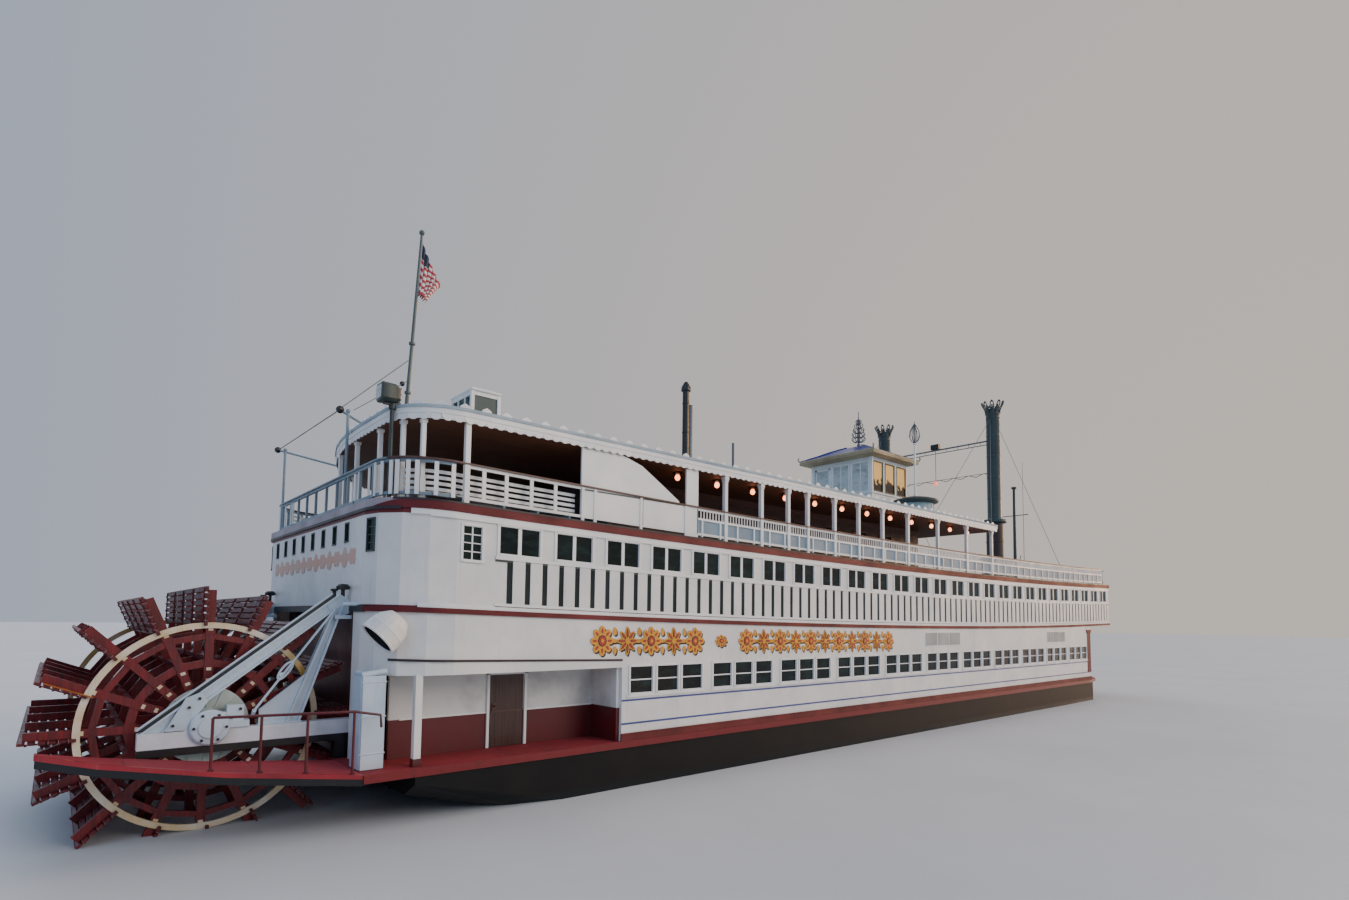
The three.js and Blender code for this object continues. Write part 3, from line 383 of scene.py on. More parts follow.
def grown(name, tree, mesh, unit, finish, body, inputs, bevel=0.0, replaces=()):
    """Runs a node tree on a mesh and keeps its result as a plain finished piece."""
    holder = bpy.data.meshes.new(name + "_unit")
    holder.from_pydata(unit.points, [], unit.faces)
    source = bpy.data.objects.new(name + "_unit", holder)
    bpy.context.scene.collection.objects.link(source)
    obj = bpy.data.objects.new(name, mesh)
    bpy.context.scene.collection.objects.link(obj)
    growth = obj.modifiers.new("growth", "NODES")
    growth.node_group = tree
    values = {"Unit": source, "Finish": finish, **inputs}
    for item in tree.interface.items_tree:
        if item.in_out == "INPUT" and item.name in values:
            growth[item.identifier] = values[item.name]
    evaluated = obj.evaluated_get(bpy.context.evaluated_depsgraph_get())
    result = bpy.data.meshes.new_from_object(evaluated)
    obj.modifiers.clear()
    obj.data = result
    result.name = name
    bpy.data.objects.remove(source)
    return dress(obj, [finish], body, replaces, 35, bevel)


def row(name, unit, count, start, step, finish, sheer_rate=0.0):
    inputs = {"Count": count, "Start": tuple(map(float, start)), "Step": tuple(map(float, step)),
              "Sheer": sheer_rate}
    mesh = bpy.data.meshes.new(name + "_seed")
    return grown(name, ROW, mesh, unit, finish, "boat", inputs)


def spots(name, unit, places, finish, sheer_rate=0.0):
    """Places are x, y, z and an optional turn about z in radians."""
    mesh = bpy.data.meshes.new(name + "_seed")
    mesh.from_pydata([p[:3] for p in places], [], [])
    turn = mesh.attributes.new("turn", "FLOAT", "POINT")
    turn.data.foreach_set("value", [p[3] if len(p) > 3 else 0.0 for p in places])
    return grown(name, SPOTS, mesh, unit, finish, "boat", {"Sheer": sheer_rate})


def ring(name, unit, count, centre, turn, finish, body, bevel=0.0, replaces=()):
    inputs = {"Count": count, "Centre": tuple(map(float, centre)), "Turn": tuple(map(float, turn))}
    mesh = bpy.data.meshes.new(name + "_seed")
    return grown(name, RING, mesh, unit, finish, body, inputs, bevel, replaces)


# Finishes


def linear(hex_code):
    """An sRGB hex colour as the linear colour that shaders use."""
    parts = [int(hex_code[i:i + 2], 16) / 255 for i in (1, 3, 5)]
    return (*[p / 12.92 if p <= 0.04045 else ((p + 0.055) / 1.055) ** 2.4 for p in parts], 1.0)


def start(name, hex_code, roughness, metallic=0.0, **sockets):
    """A new material, its tree, its shader and its Object coordinates."""
    material = bpy.data.materials.new(name)
    material.use_nodes = True
    tree = material.node_tree
    shader = tree.nodes["Principled BSDF"]
    shader.inputs["Base Color"].default_value = linear(hex_code)
    shader.inputs["Roughness"].default_value = roughness
    shader.inputs["Metallic"].default_value = metallic
    for key, value in sockets.items():
        shader.inputs[key.replace("_", " ")].default_value = value
    return material, tree, shader, add(tree, "ShaderNodeTexCoord").outputs["Object"]


def stretched(tree, place, scale):
    return add(tree, "ShaderNodeMapping", {"Vector": place, "Scale": scale}).outputs[0]


def noise(tree, place, scale, detail=4.0, roughness=0.6):
    values = {"Vector": place, "Scale": scale, "Detail": detail, "Roughness": roughness}
    return add(tree, "ShaderNodeTexNoise", values).outputs[0]


def ramp(tree, value, low, high, out_low=0.0, out_high=1.0):
    values = {0: value, 1: low, 2: high, 3: out_low, 4: out_high}
    return add(tree, "ShaderNodeMapRange", values).outputs[0]


def mixed(tree, share, first, second):
    """Two colours mixed; each is a hex colour or a socket."""
    values = {0: share}
    for key, colour in ((6, first), (7, second)):
        values[key] = linear(colour) if isinstance(colour, str) else colour
    return add(tree, "ShaderNodeMix", values, data_type="RGBA").outputs[2]


def use(tree, shader, colour=None, roughness=None, height=None, strength=0.2, distance=0.01):
    if colour is not None:
        tree.links.new(colour, shader.inputs["Base Color"])
    if roughness is not None:
        tree.links.new(roughness, shader.inputs["Roughness"])
    if height is not None:
        bump = add(tree, "ShaderNodeBump", {"Height": height, "Strength": strength, "Distance": distance})
        tree.links.new(bump.outputs[0], shader.inputs["Normal"])


def painted(name, hex_code, shade, stain, roughness=0.45, streaks=0.35, wave=0.15, coat=0.15):
    """Brushed alkyd paint on steel or wood: patchy tone, runs of dirt down the face, low waves."""
    material, tree, shader, place = start(name, hex_code, roughness, Coat_Weight=coat, Coat_Roughness=0.25)
    patches = ramp(tree, noise(tree, place, 1.4, 5.0), 0.35, 0.7)
    colour = mixed(tree, patches, hex_code, shade)
    runs = noise(tree, stretched(tree, place, (7.0, 7.0, 0.55)), 1.6, 6.0, 0.7)
    marks = ramp(tree, runs, 0.56, 0.82, 0.0, streaks)
    colour = mixed(tree, marks, colour, stain)
    rough = ramp(tree, patches, 0.0, 1.0, roughness - 0.05, roughness + 0.12)
    use(tree, shader, colour, rough, noise(tree, place, 3.0, 3.0), wave, 0.02)
    return material


# White alkyd enamel on plate and boards: warm white, faint grey patches, rusty runs
white = painted("white_enamel", "#E6E4DE", "#D2D3D2", "#A98F78", 0.42, 0.3)
# The same enamel in the sheltered places, cooler and cleaner
white_trim = painted("white_trim_enamel", "#EFEEE9", "#DDDEDD", "#B5A592", 0.38, 0.15)
# Oxide red gloss paint of the deck edges, worn to pink on ridges and dark in runs
edge_red = painted("edge_red_gloss", "#6A0811", "#4C060D", "#2A0508", 0.6, 0.45, coat=0.0)
# Red paint on the fantail guards, faded by the wash
guard_red = painted("guard_red_gloss", "#A3222A", "#7F161F", "#C8766C", 0.45, 0.4)
# Dark red paint of the bulkhead behind the wheel
bulkhead_red = painted("bulkhead_red_paint", "#5E0D12", "#4A090E", "#2A0709", 0.5, 0.5)
# Deep blue gloss of the thin lines along the house
line_blue = painted("line_blue_gloss", "#3D4E92", "#2F3E78", "#232B50", 0.35, 0.3)
# Grey blue paint of lockers and lower rail panels
locker_blue = painted("locker_blue_paint", "#7F97A6", "#6A8191", "#4E5F6B", 0.5, 0.3)
# Plain grey paint of the louvre panels
louvre_grey = painted("louvre_grey_paint", "#A9ADAC", "#8D9292", "#6E6A66", 0.5, 0.3)
# Tan of the pilothouse eave
eave_tan = painted("eave_tan_colour", "#A39676", "#86795C", "#5C523D", 0.5, 0.4)
# Pale roof coating, chalky and streaked
roof_pale = painted("roof_coating", "#A9B8C0", "#8FA0AA", "#6F7A80", 0.65, 0.4, coat=0.0)
# Deep blue enamel of the pilothouse roof
roof_blue = painted("roof_blue_enamel", "#2C3E9A", "#22307A", "#141B44", 0.3, 0.25)
# Green grey stack paint, hot worn
stack_green = painted("stack_green_paint", "#2F4446", "#243436", "#161E1F", 0.38, 0.5)
# Black gloss on iron fittings
black_iron = painted("black_iron_paint", "#17191B", "#101214", "#3A2A22", 0.35, 0.3)
# Galvanised and greyed iron of finials and pipes
grey_iron = painted("grey_iron", "#6D7478", "#555C60", "#3F4346", 0.5, 0.4, coat=0.0)
# Blue grey paint of the rail across the stern
rail_grey = painted("stern_rail_grey", "#8496A2", "#6E808C", "#56656F", 0.45, 0.3)
# White enamel of the wheel's struts and the stern ducts, tinted pale blue as painted cool shade, with grey
# runs
strut_white_painted_cool_shade = painted("strut_enamel_painted_cool_shade", "#C9D6E0", "#AEBFCC", "#6F7C86", 0.35, 0.35)
# Grey pink of the deck's edge across the stern
edge_stern_grey = painted("edge_stern_grey_pink", "#A79CA1", "#8D8388", "#5D5458", 0.5, 0.4)
# Near black red of thin lines under and over the deck edges; the line over the third deck's red edge is
# painted shadow
dark_line_and_painted_shadow = painted("edge_line_dark", "#2B1A1E", "#1F1215", "#120B0D", 0.45, 0.3)
# Dark grey green of sashes round the stern and of floodlights; also the strip of painted shadow under the
# board cap
sash_dark_and_cap_shadow = painted("sash_dark_green", "#33423F", "#26322F", "#161D1B", 0.4, 0.3)
# Painted shade between the boards: a dark grey green sheet behind them
painted_gap_shade = painted("board_gap_shade", "#1C2627", "#151D1E", "#0E1314", 0.8, 0.3, coat=0.0)
# Faded apricot of the painted band across the stern
apricot_faded = painted("apricot_faded", "#D49C7E", "#C9AC9C", "#DCC8BC", 0.5, 0.5)
# Orange and ochre of low sunlight on one bucket's end: a patch of painted light
sunlight_orange_painted = painted("sunlight_orange_painted", "#B5651E", "#8A4214", "#D89A3A", 0.75, 0.6, coat=0.0)
# Pale pink of plank edges: worn paint, and painted highlight where the edges catch the light
plank_edge_wear_and_highlight = painted("plank_edge_pink_wear_and_highlight", "#A9787B", "#7A3F43", "#4E1519", 0.65, 0.7, coat=0.0)
# Dark red gloss of handrails
rail_red = painted("handrail_red", "#5B1218", "#430C11", "#240709", 0.35, 0.3)


def make_hull_paint():
    """Black bitumen paint over plates, with a blue grey bottom paint under the waterline."""
    material, tree, shader, place = start("hull_black_paint", "#0E1011", 0.55, Specular_IOR_Level=0.2)
    plates = add(tree, "ShaderNodeTexBrick", {
        "Vector": stretched(tree, place, (1.0, 0.0, 1.0)),
        "Color1": (1, 1, 1, 1), "Color2": (0.9, 0.9, 0.9, 1),
        "Mortar": (0, 0, 0, 1), "Scale": 1.0, "Mortar Size": 0.006, "Brick Width": 1.6, "Row Height": 0.45})
    height = add(tree, "ShaderNodeSeparateXYZ", {0: place}).outputs["Z"]
    wet = ramp(tree, height, WATERLINE, WATERLINE + 0.16)
    patches = ramp(tree, noise(tree, place, 2.2, 6.0), 0.4, 0.7)
    top = mixed(tree, patches, "#0B0D0F", "#141414")
    colour = mixed(tree, wet, "#161C1E", top)
    under = ramp(tree, height, WATERLINE - 0.02, WATERLINE)
    colour = mixed(tree, under, "#4C6476", colour)
    rough = ramp(tree, wet, 0.0, 1.0, 0.25, 0.5)
    use(tree, shader, colour, rough, plates.outputs["Color"], 0.35, 0.01)
    return material


def make_deck_paint(name, edge_hex, shade, walk_hex="#7E8583", walk_shade="#666C6B"):
    """Gloss on the deck's edge, and non-slip paint on its walking side."""
    material, tree, shader, place = start(name, edge_hex, 0.45)
    up = add(tree, "ShaderNodeNewGeometry").outputs["Normal"]
    face = add(tree, "ShaderNodeSeparateXYZ", {0: up}).outputs["Z"]
    flat = ramp(tree, face, 0.6, 0.8)
    runs = noise(tree, stretched(tree, place, (5.0, 5.0, 1.0)), 2.0, 6.0, 0.7)
    edge = mixed(tree, ramp(tree, runs, 0.5, 0.8, 0.0, 0.8), edge_hex, shade)
    walked = mixed(tree, ramp(tree, noise(tree, place, 0.8, 6.0), 0.35, 0.7), walk_hex, walk_shade)
    sheets = add(tree, "ShaderNodeTexBrick", {
        "Vector": place, "Color1": (1, 1, 1, 1), "Color2": (0.88, 0.88, 0.88, 1), "Mortar": (0, 0, 0, 1),
        "Scale": 1.0, "Mortar Size": 0.009, "Brick Width": 1.2, "Row Height": 0.6})
    walked = mixed(tree, ramp(tree, sheets.outputs["Fac"], 0.0, 1.0, 0.0, 0.5), walked, "#302C2B")
    colour = mixed(tree, flat, edge, walked)
    grit = noise(tree, place, 60.0, 2.0)
    use(tree, shader, colour, ramp(tree, flat, 0.0, 1.0, 0.38, 0.8), grit, 0.12, 0.004)
    return material


def make_wood(name, hex_code, dark, worn, roughness, grain_axis, board=None, wear=0.3):
    """Painted or oiled wood with grain along one axis; board is a plank's width in the model."""
    material, tree, shader, place = start(name, hex_code, roughness, Coat_Weight=0.1)
    squeeze = {"x": (0.6, 14.0, 14.0), "y": (14.0, 0.6, 14.0), "z": (14.0, 14.0, 0.6)}[grain_axis]
    grain = noise(tree, stretched(tree, place, squeeze), 2.2, 7.0, 0.65)
    colour = mixed(tree, ramp(tree, grain, 0.35, 0.7), hex_code, dark)
    rubbed = noise(tree, place, 5.0, 6.0, 0.7)
    colour = mixed(tree, ramp(tree, rubbed, 0.6, 0.75, 0.0, wear), colour, worn)
    height = grain
    if board:
        across = {"x": "Y", "y": "X", "z": "X"}[grain_axis]
        at = add(tree, "ShaderNodeSeparateXYZ", {0: place}).outputs[across]
        steps = add(tree, "ShaderNodeMath", {0: at, 1: board}, operation="DIVIDE").outputs[0]
        part = add(tree, "ShaderNodeMath", {0: steps}, operation="FRACT").outputs[0]
        seam = ramp(tree, part, 0.0, 0.07)
        colour = mixed(tree, seam, "#120C0A", colour)
        height = add(tree, "ShaderNodeMath", {0: seam, 1: grain}, operation="ADD").outputs[0]
    rough = ramp(tree, rubbed, 0.3, 0.7, roughness - 0.08, roughness + 0.15)
    use(tree, shader, colour, rough, height, 0.3, 0.006)
    return material


def make_glass(name, tint, second, pitch, offset_x):
    """Dark window glass, each pane a little different from the next in tone and in what lies behind."""
    material, tree, shader, place = start(name, tint, 0.06, Specular_IOR_Level=0.25)
    at = add(tree, "ShaderNodeSeparateXYZ", {0: place})
    shifted = add(tree, "ShaderNodeMath", {0: at.outputs["X"], 1: offset_x}, operation="SUBTRACT").outputs[0]
    cells = add(tree, "ShaderNodeMath", {0: shifted, 1: pitch}, operation="DIVIDE").outputs[0]
    cell = add(tree, "ShaderNodeMath", {0: cells}, operation="FLOOR").outputs[0]
    chance = add(tree, "ShaderNodeTexWhiteNoise", {"W": cell}, noise_dimensions="1D").outputs[0]
    depth = noise(tree, stretched(tree, place, (1.0, 1.0, 2.5)), 2.6, 3.0)
    colour = mixed(tree, ramp(tree, chance, 0.2, 1.0, 0.0, 0.8), tint, second)
    colour = mixed(tree, ramp(tree, depth, 0.45, 0.7, 0.0, 0.5), colour, "#2B3F3E")
    use(tree, shader, colour, None, noise(tree, place, 1.2, 2.0), 0.06, 0.02)
    return material


def make_glow(name, hex_code, power):
    """Warm opal lamp glass that is lit."""
    material, tree, shader, place = start(name, hex_code, 0.3)
    glow = mixed(tree, ramp(tree, noise(tree, place, 12.0), 0.3, 0.7, 0.0, 0.3), hex_code, "#FFF1D8")
    tree.links.new(glow, shader.inputs["Emission Color"])
    shader.inputs["Emission Strength"].default_value = power
    return material


def make_siding(name, hex_code, shade, stain, pitch):
    """White lap boards: a bumped step and a band of painted shade at each board's lower edge."""
    material, tree, shader, place = start(name, hex_code, 0.45, Coat_Weight=0.1)
    height = add(tree, "ShaderNodeSeparateXYZ", {0: place}).outputs["Z"]
    steps = add(tree, "ShaderNodeMath", {0: height, 1: pitch}, operation="DIVIDE").outputs[0]
    part = add(tree, "ShaderNodeMath", {0: steps}, operation="FRACT").outputs[0]
    line = ramp(tree, part, 0.0, 0.12)
    patches = mixed(tree, ramp(tree, noise(tree, place, 2.0, 5.0), 0.4, 0.7), hex_code, shade)
    # Painted shade along each board's lower edge, under the lap
    colour = mixed(tree, ramp(tree, part, 0.0, 0.1, 0.55, 0.0), patches, stain)
    use(tree, shader, colour, None, line, 0.6, 0.012)
    return material


hull_paint = make_hull_paint()
deck_red = make_deck_paint("deck_paint", "#6A0811", "#46070D")
# Wheel timbers: red lead paint soaked and scraped, with pink dry edges and near black wet wood
wheel_wood = make_wood("wheel_red_timber", "#6A070F", "#2A0407", "#93555A", 0.5, "y", wear=0.2)
# Arms of the wheel, the same paint with the grain along the boat's height
arm_wood = make_wood("wheel_arm_timber", "#7C0912", "#3A060A", "#96504F", 0.5, "z", wear=0.15)
# Dark stained boards of the cabin on the third deck
cabin_brown = make_wood("cabin_brown_boards", "#4B3328", "#2C1D17", "#6A4B3A", 0.5, "z", 0.09)
# Varnished rail cap and door wood
rail_brown = make_wood("rail_cap_varnish", "#5C3830", "#3C241F", "#8C6A5C", 0.4, "x")
door_brown = make_wood("door_varnish", "#4A2A20", "#2C1812", "#6A4436", 0.4, "z", 0.11)
# Window glass of the main deck and of the second deck, and pale glass of the pilothouse's ends and the
# floodlight coloured as a painted reflection of the sky
glass_main = make_glass("window_glass_main", "#0B1514", "#24110F", 1.825, 0.1)
glass_deck2 = make_glass("window_glass_second", "#0C1614", "#1B2622", 0.9065, 0.05)
glass_painted_sky_reflection = make_glass("window_glass_pilothouse_painted_reflection", "#D3D8D6", "#8C9794", 0.33, 0.0)
# Panes that catch the low sun: a painted gold sun glow in their colour and a faint glow of their own, with
# ragged dark shapes low behind them
glass_painted_sun_glow = make_glass("window_glass_painted_sun_glow", "#C99A55", "#A87A3E", 0.31, 0.0)
sunlit = glass_painted_sun_glow.node_tree
sunlit_inputs = sunlit.nodes["Principled BSDF"].inputs
sunlit_place = sunlit.nodes["Texture Coordinate"].outputs["Object"]
pane_height = add(sunlit, "ShaderNodeSeparateXYZ", {0: sunlit_place}).outputs["Z"]
ragged = ramp(sunlit, noise(sunlit, sunlit_place, 7.0), 0.3, 0.7, -0.16, 0.12)
pane_height = add(sunlit, "ShaderNodeMath", {0: pane_height, 1: ragged}, operation="ADD").outputs[0]
glow_above_shapes = ramp(sunlit, pane_height, 7.38, 7.46)
# Painted glow of low sun on the glass, dark where shapes stand behind it
sunlit.links.new(mixed(sunlit, glow_above_shapes, "#2A1E14", "#F2C179"), sunlit_inputs["Emission Color"])
sunlit.links.new(mixed(sunlit, glow_above_shapes, "#3A2E22", "#C99A55"), sunlit_inputs["Base Color"])
sunlit_inputs["Emission Strength"].default_value = 0.5
# Panes of the cabin, dark with warm lamplight behind, and bottle green panes of the roof box
glass_lit = make_glass("window_glass_cabin", "#1B1A17", "#5A3A20", 2.4, 0.0)
glass_green = make_glass("window_glass_green", "#1F3A38", "#2E4B46", 0.25, 0.0)
lamp_glow = make_glow("lamp_opal", "#FF7A2E", 5.0)
lamp_red = make_glow("lamp_red", "#D2452C", 2.0)
# Lap siding of the pilothouse, with painted shade under each board
siding = make_siding("lap_siding", "#DDE1E0", "#C3CDD0", "#7C868C", 0.085)
# Cream enamel on the wheel's side rings, rusted ochre in patches
ring_cream = painted("ring_cream_enamel", "#E6DCCB", "#C9A24C", "#8C5A24", 0.45, 0.7)
# Pale enamel on the hub discs, cool grey with rusty edges
hub_pale = painted("hub_disc_enamel", "#C3CCC6", "#A3ADA6", "#8A6A4A", 0.45, 0.6)
# Blue grey line along the top of the roof's edge
roof_line_blue = painted("roof_line_blue_grey", "#6F8593", "#596E7C", "#3F4E58", 0.5, 0.3)
# Pale green blue of the round cupola
cupola_green = painted("cupola_blue_green", "#AEC3C4", "#93ACAE", "#6E8285", 0.5, 0.35)
# Burnt red black foot of the stacks, and the greyer iron of their crowns
stack_foot = painted("stack_foot_red_black", "#2E1516", "#1E0F10", "#120A0A", 0.5, 0.4)
stack_crown = painted("stack_crown_iron", "#39494A", "#2A3738", "#6C7778", 0.4, 0.4)
# Dark grey green of the raked flagpole
pole_green = painted("flagpole_grey_green", "#4C5C5C", "#3A4848", "#2A3434", 0.4, 0.3)
# Gilt, vermilion and black of the painted ornament; the black is also the painted shade in the cowls' throats
# and the painted shadow on the second deck's edge across the stern
gilt = painted("ornament_gilt", "#E3A027", "#C07E1C", "#8A5212", 0.35, 0.3)
vermilion = painted("ornament_vermilion", "#B6361B", "#8F2614", "#5C170C", 0.4, 0.3)
ornament_black_and_painted_shade = painted("ornament_black_and_painted_shade", "#151415", "#0D0C0D", "#2B2524", 0.45, 0.3)


def make_banded(name, axis, bands, roughness=0.45, metallic=0.0, soft=0.004):
    """Paint whose colour changes at given places along one axis: colour, then where it ends, and so on."""
    material, tree, shader, place = start(name, bands[0], roughness, metallic)
    at = add(tree, "ShaderNodeSeparateXYZ", {0: place}).outputs[axis]
    colour = bands[0]
    for edge, next_colour in zip(bands[1::2], bands[2::2]):
        colour = mixed(tree, ramp(tree, at, edge - soft, edge + soft), colour, next_colour)
    patches = noise(tree, place, 2.4, 6.0)
    dirt = mixed(tree, ramp(tree, patches, 0.45, 0.75, 0.0, 0.35), colour, "#3A3632")
    rough = ramp(tree, patches, 0.3, 0.7, roughness - 0.05, roughness + 0.15)
    use(tree, shader, dirt, rough, patches, 0.1, 0.01)
    return material


def make_roof_skin():
    """Pale coating above, white fascia at the edge, varnished ceiling below."""
    material, tree, shader, place = start("roof_skin", "#A9B8C0", 0.6)
    normal = add(tree, "ShaderNodeNewGeometry").outputs["Normal"]
    up = add(tree, "ShaderNodeSeparateXYZ", {0: normal}).outputs["Z"]
    seams = add(tree, "ShaderNodeTexBrick", {
        "Vector": place, "Color1": (1, 1, 1, 1), "Color2": (0.85, 0.85, 0.85, 1), "Mortar": (0, 0, 0, 1),
        "Scale": 1.0, "Mortar Size": 0.011, "Brick Width": 1.5, "Row Height": 0.5})
    patches = ramp(tree, noise(tree, place, 0.9, 6.0), 0.3, 0.75)
    top = mixed(tree, patches, "#B4C1C8", "#9BA9B1")
    top = mixed(tree, ramp(tree, seams.outputs["Fac"], 0.0, 1.0, 0.0, 0.6), top, "#5E696F")
    at = add(tree, "ShaderNodeSeparateXYZ", {0: place}).outputs["Y"]
    boards = add(tree, "ShaderNodeMath", {0: at, 1: 0.07}, operation="DIVIDE").outputs[0]
    joint = ramp(tree, add(tree, "ShaderNodeMath", {0: boards}, operation="FRACT").outputs[0], 0.0, 0.1)
    grain = noise(tree, stretched(tree, place, (0.8, 14.0, 14.0)), 2.0, 6.0)
    below = mixed(tree, ramp(tree, grain, 0.35, 0.7), "#7A4A30", "#54301F")
    below = mixed(tree, joint, "#1E120C", below)
    colour = mixed(tree, ramp(tree, up, -0.6, -0.4), below, "#E4E6E6")
    colour = mixed(tree, ramp(tree, up, 0.3, 0.5), colour, top)
    use(tree, shader, colour, None, seams.outputs["Color"], 0.25, 0.008)
    return material


def make_bunting():
    """Woven bunting: faded red and white stripes along the fly, a dark blue corner by the hoist."""
    material, tree, shader, place = start("flag_bunting", "#A8323A", 0.85, Sheen_Weight=0.3)
    uv = add(tree, "ShaderNodeSeparateXYZ", {0: add(tree, "ShaderNodeTexCoord").outputs["UV"]})
    rows = add(tree, "ShaderNodeMath", {0: uv.outputs["Y"], 1: 6.5}, operation="MULTIPLY").outputs[0]
    part = add(tree, "ShaderNodeMath", {0: rows}, operation="FRACT").outputs[0]
    stripe = ramp(tree, part, 0.48, 0.52)
    colour = mixed(tree, stripe, "#B23A44", "#E4DEDA")
    near = ramp(tree, uv.outputs["X"], 0.4, 0.42, 1.0, 0.0)
    high = ramp(tree, uv.outputs["Y"], 0.7, 0.72)
    corner = add(tree, "ShaderNodeMath", {0: near, 1: high}, operation="MULTIPLY").outputs[0]
    colour = mixed(tree, corner, colour, "#1D2547")
    threads = add(tree, "ShaderNodeTexWave", {"Vector": place, "Scale": 90.0}).outputs["Fac"]
    use(tree, shader, colour, None, threads, 0.1, 0.002)
    return material


bunting = make_bunting()
roof_skin = make_roof_skin()
# Walls of the after recess: white over a dark red boot as high as a rail
recess_paint = make_banded("recess_wall_paint", "Z", ["#5A0F15", 1.975, "#DADAD6"])
# Beams that carry the wheel: white gloss above, and black below as painted shadow under them
beam_white_over_painted_shadow = make_banded("wheel_beam_white_over_painted_shadow", "Z", ["#141516", 1.79, "#DADEE2"], 0.35)
# Fantail guards and after deck: black sides, red lead floor faded to pink by the wash
guard_paint = make_deck_paint("guard_paint", "#141415", "#2A2220", "#B23B45", "#8E2A33")
main_deck_paint = make_deck_paint("main_deck_paint", "#6E0A13", "#48080E", "#94262F", "#701D26")

# Finishes of the solids that show as they are
PAIR = ("starboard", "port")


def both(*names):
    return [f"{name}_{side}" for name in names for side in PAIR]


FINISHES = (
    (hull_paint, ["hull", "rudder_middle", *both("rudder")]),
    (deck_red, ["second_deck", "third_deck"]),
    (main_deck_paint, ["main_deck"]),
    (white, ["house_front", "stern_wall", "cabin_front", *both("house_side", "cabin_side", "stern_screen")]),
    (bulkhead_red, ["stern_bulkhead"]),
    (white_trim, ["bow_rail", *both("promenade_rail")]),
    (rail_grey, ["stern_rail"]),
    (recess_paint, both("engine_room_wall")),
    (door_brown, both("engine_room_door")),
    (black_iron, ["boiler", "capstan", "wheel_shaft", *both("engine")]),
    (cabin_brown, ["texas_aft", "texas_forward", *both("texas_side")]),
    (siding, ["pilothouse_aft", "pilothouse_front", *both("pilothouse_side")]),
    (roof_skin, ["roof"]),
    (beam_white_over_painted_shadow, both("wheel_beam")),
    (strut_white_painted_cool_shade, both("beam_brace")),
    (guard_paint, both("fantail_guard")),
    (arm_wood, [f"wheel_frame_{i}" for i in range(1, 6)]),
)
for material, names in FINISHES:
    for name in names:
        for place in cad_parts[name].material_slots:
            place.material = material


# Parts of shapes that come back


def side_line(x0, x1, y=HALF_BEAM):
    return [(x, -y) for x in stations(x0, x1)]


def window(frames, panes, x0, x1, z0, z1, columns=1, rows=1, casing=0.06, bar=0.05, proud=0.03, y=0.0):
    """Sash in a wall whose outer face is at y and faces -y: casing, sash, glazing bars and glass."""
    out, deep = y - proud, y + 0.03
    frames.box(x0 - casing, x0 + 0.01, out, deep, z0 - casing, z1 + casing)
    frames.box(x1 - 0.01, x1 + casing, out, deep, z0 - casing, z1 + casing)
    frames.box(x0, x1, out, deep, z1 - 0.01, z1 + casing)
    frames.box(x0, x1, out - 0.02, deep, z0 - casing, z0 + 0.01)
    for k in range(columns + 1):
        x = x0 + (x1 - x0) * k / columns
        wide = bar if 0 < k < columns else 0.035
        frames.box(max(x - wide / 2, x0), min(x + wide / 2, x1), y + 0.012, y + 0.06, z0, z1)
    for k in range(rows + 1):
        z = z0 + (z1 - z0) * k / rows
        wide = bar * 0.8 if 0 < k < rows else 0.04
        frames.box(x0, x1, y + 0.018, y + 0.055, max(z - wide / 2, z0), min(z + wide / 2, z1))
    panes.box(x0, x1, y + 0.04, y + 0.05, z0, z1)


def along(line, pitch):
    """Points and headings along a line in plan, a pitch apart."""
    places, left = [], pitch / 2
    for (x0, y0), (x1, y1) in zip(line, line[1:]):
        length = math.hypot(x1 - x0, y1 - y0)
        while left < length:
            t = left / length
            places.append((x0 + (x1 - x0) * t, y0 + (y1 - y0) * t, 0.0, math.atan2(y1 - y0, x1 - x0)))
            left += pitch
        left -= length
    return places


def roof_line(out=0.0, x_end=ROOF_FWD_X):
    """Edge of the roof in plan: port side, its long sweep, the stern, and the tight starboard round."""
    port, starboard = [(x_end, ROOF_HALF)], []
    for d in reversed(ROOF_ROWS):
        sweep = max(1 - d / ROOF_SWEEP_X, 0)
        port.append((ROOF_AFT_X + d, ROOF_HALF - ROOF_SWEEP_Y * (1 - math.sqrt(1 - sweep ** 2))))
    for d in ROOF_ROWS:
        corner = max(ROOF_R - d, 0)
        starboard.append((ROOF_AFT_X + d, -(ROOF_HALF - ROOF_R) - math.sqrt(ROOF_R ** 2 - corner ** 2)))
    return offset([*port, *starboard, (x_end, -ROOF_HALF)], out)


# Edges of the upper decks: grey across the stern with a dark line under it, red from the quarters on
def edge(name, line, z0, z1, material, thick=0.06):
    return piece(name, Shape().band(line, z0, z1, thick).both_sides(), material)


def stern_part(out, count):
    return [(-out, 0.0), *deck_line(out)[:count]]


rising = [9.15 + 0.05 * k for k in range(4)]
edge("third_deck_edge_stern", stern_part(0.045, 7), 9.15, DECK3 + 0.01, edge_stern_grey)
edge("third_deck_line_stern", stern_part(0.06, 7), 9.07, 9.15, dark_line_and_painted_shadow)
red_line = deck_line(0.052)[2:]
edge("third_deck_edge", red_line, 9.107, rising + [DECK3 - 0.03] * (len(red_line) - 4), edge_red)
# A near black bead along the top of the red edge: painted shadow
edge("third_deck_edge_bead", deck_line(0.06)[5:], DECK3 - 0.035, DECK3 + 0.02, dark_line_and_painted_shadow)
edge("third_deck_moulding", deck_line(0.03)[7:], 8.965, 9.107, white_trim)
edge("third_deck_moulding_bead", deck_line(0.045)[9:], 8.93, 8.965, white_trim)
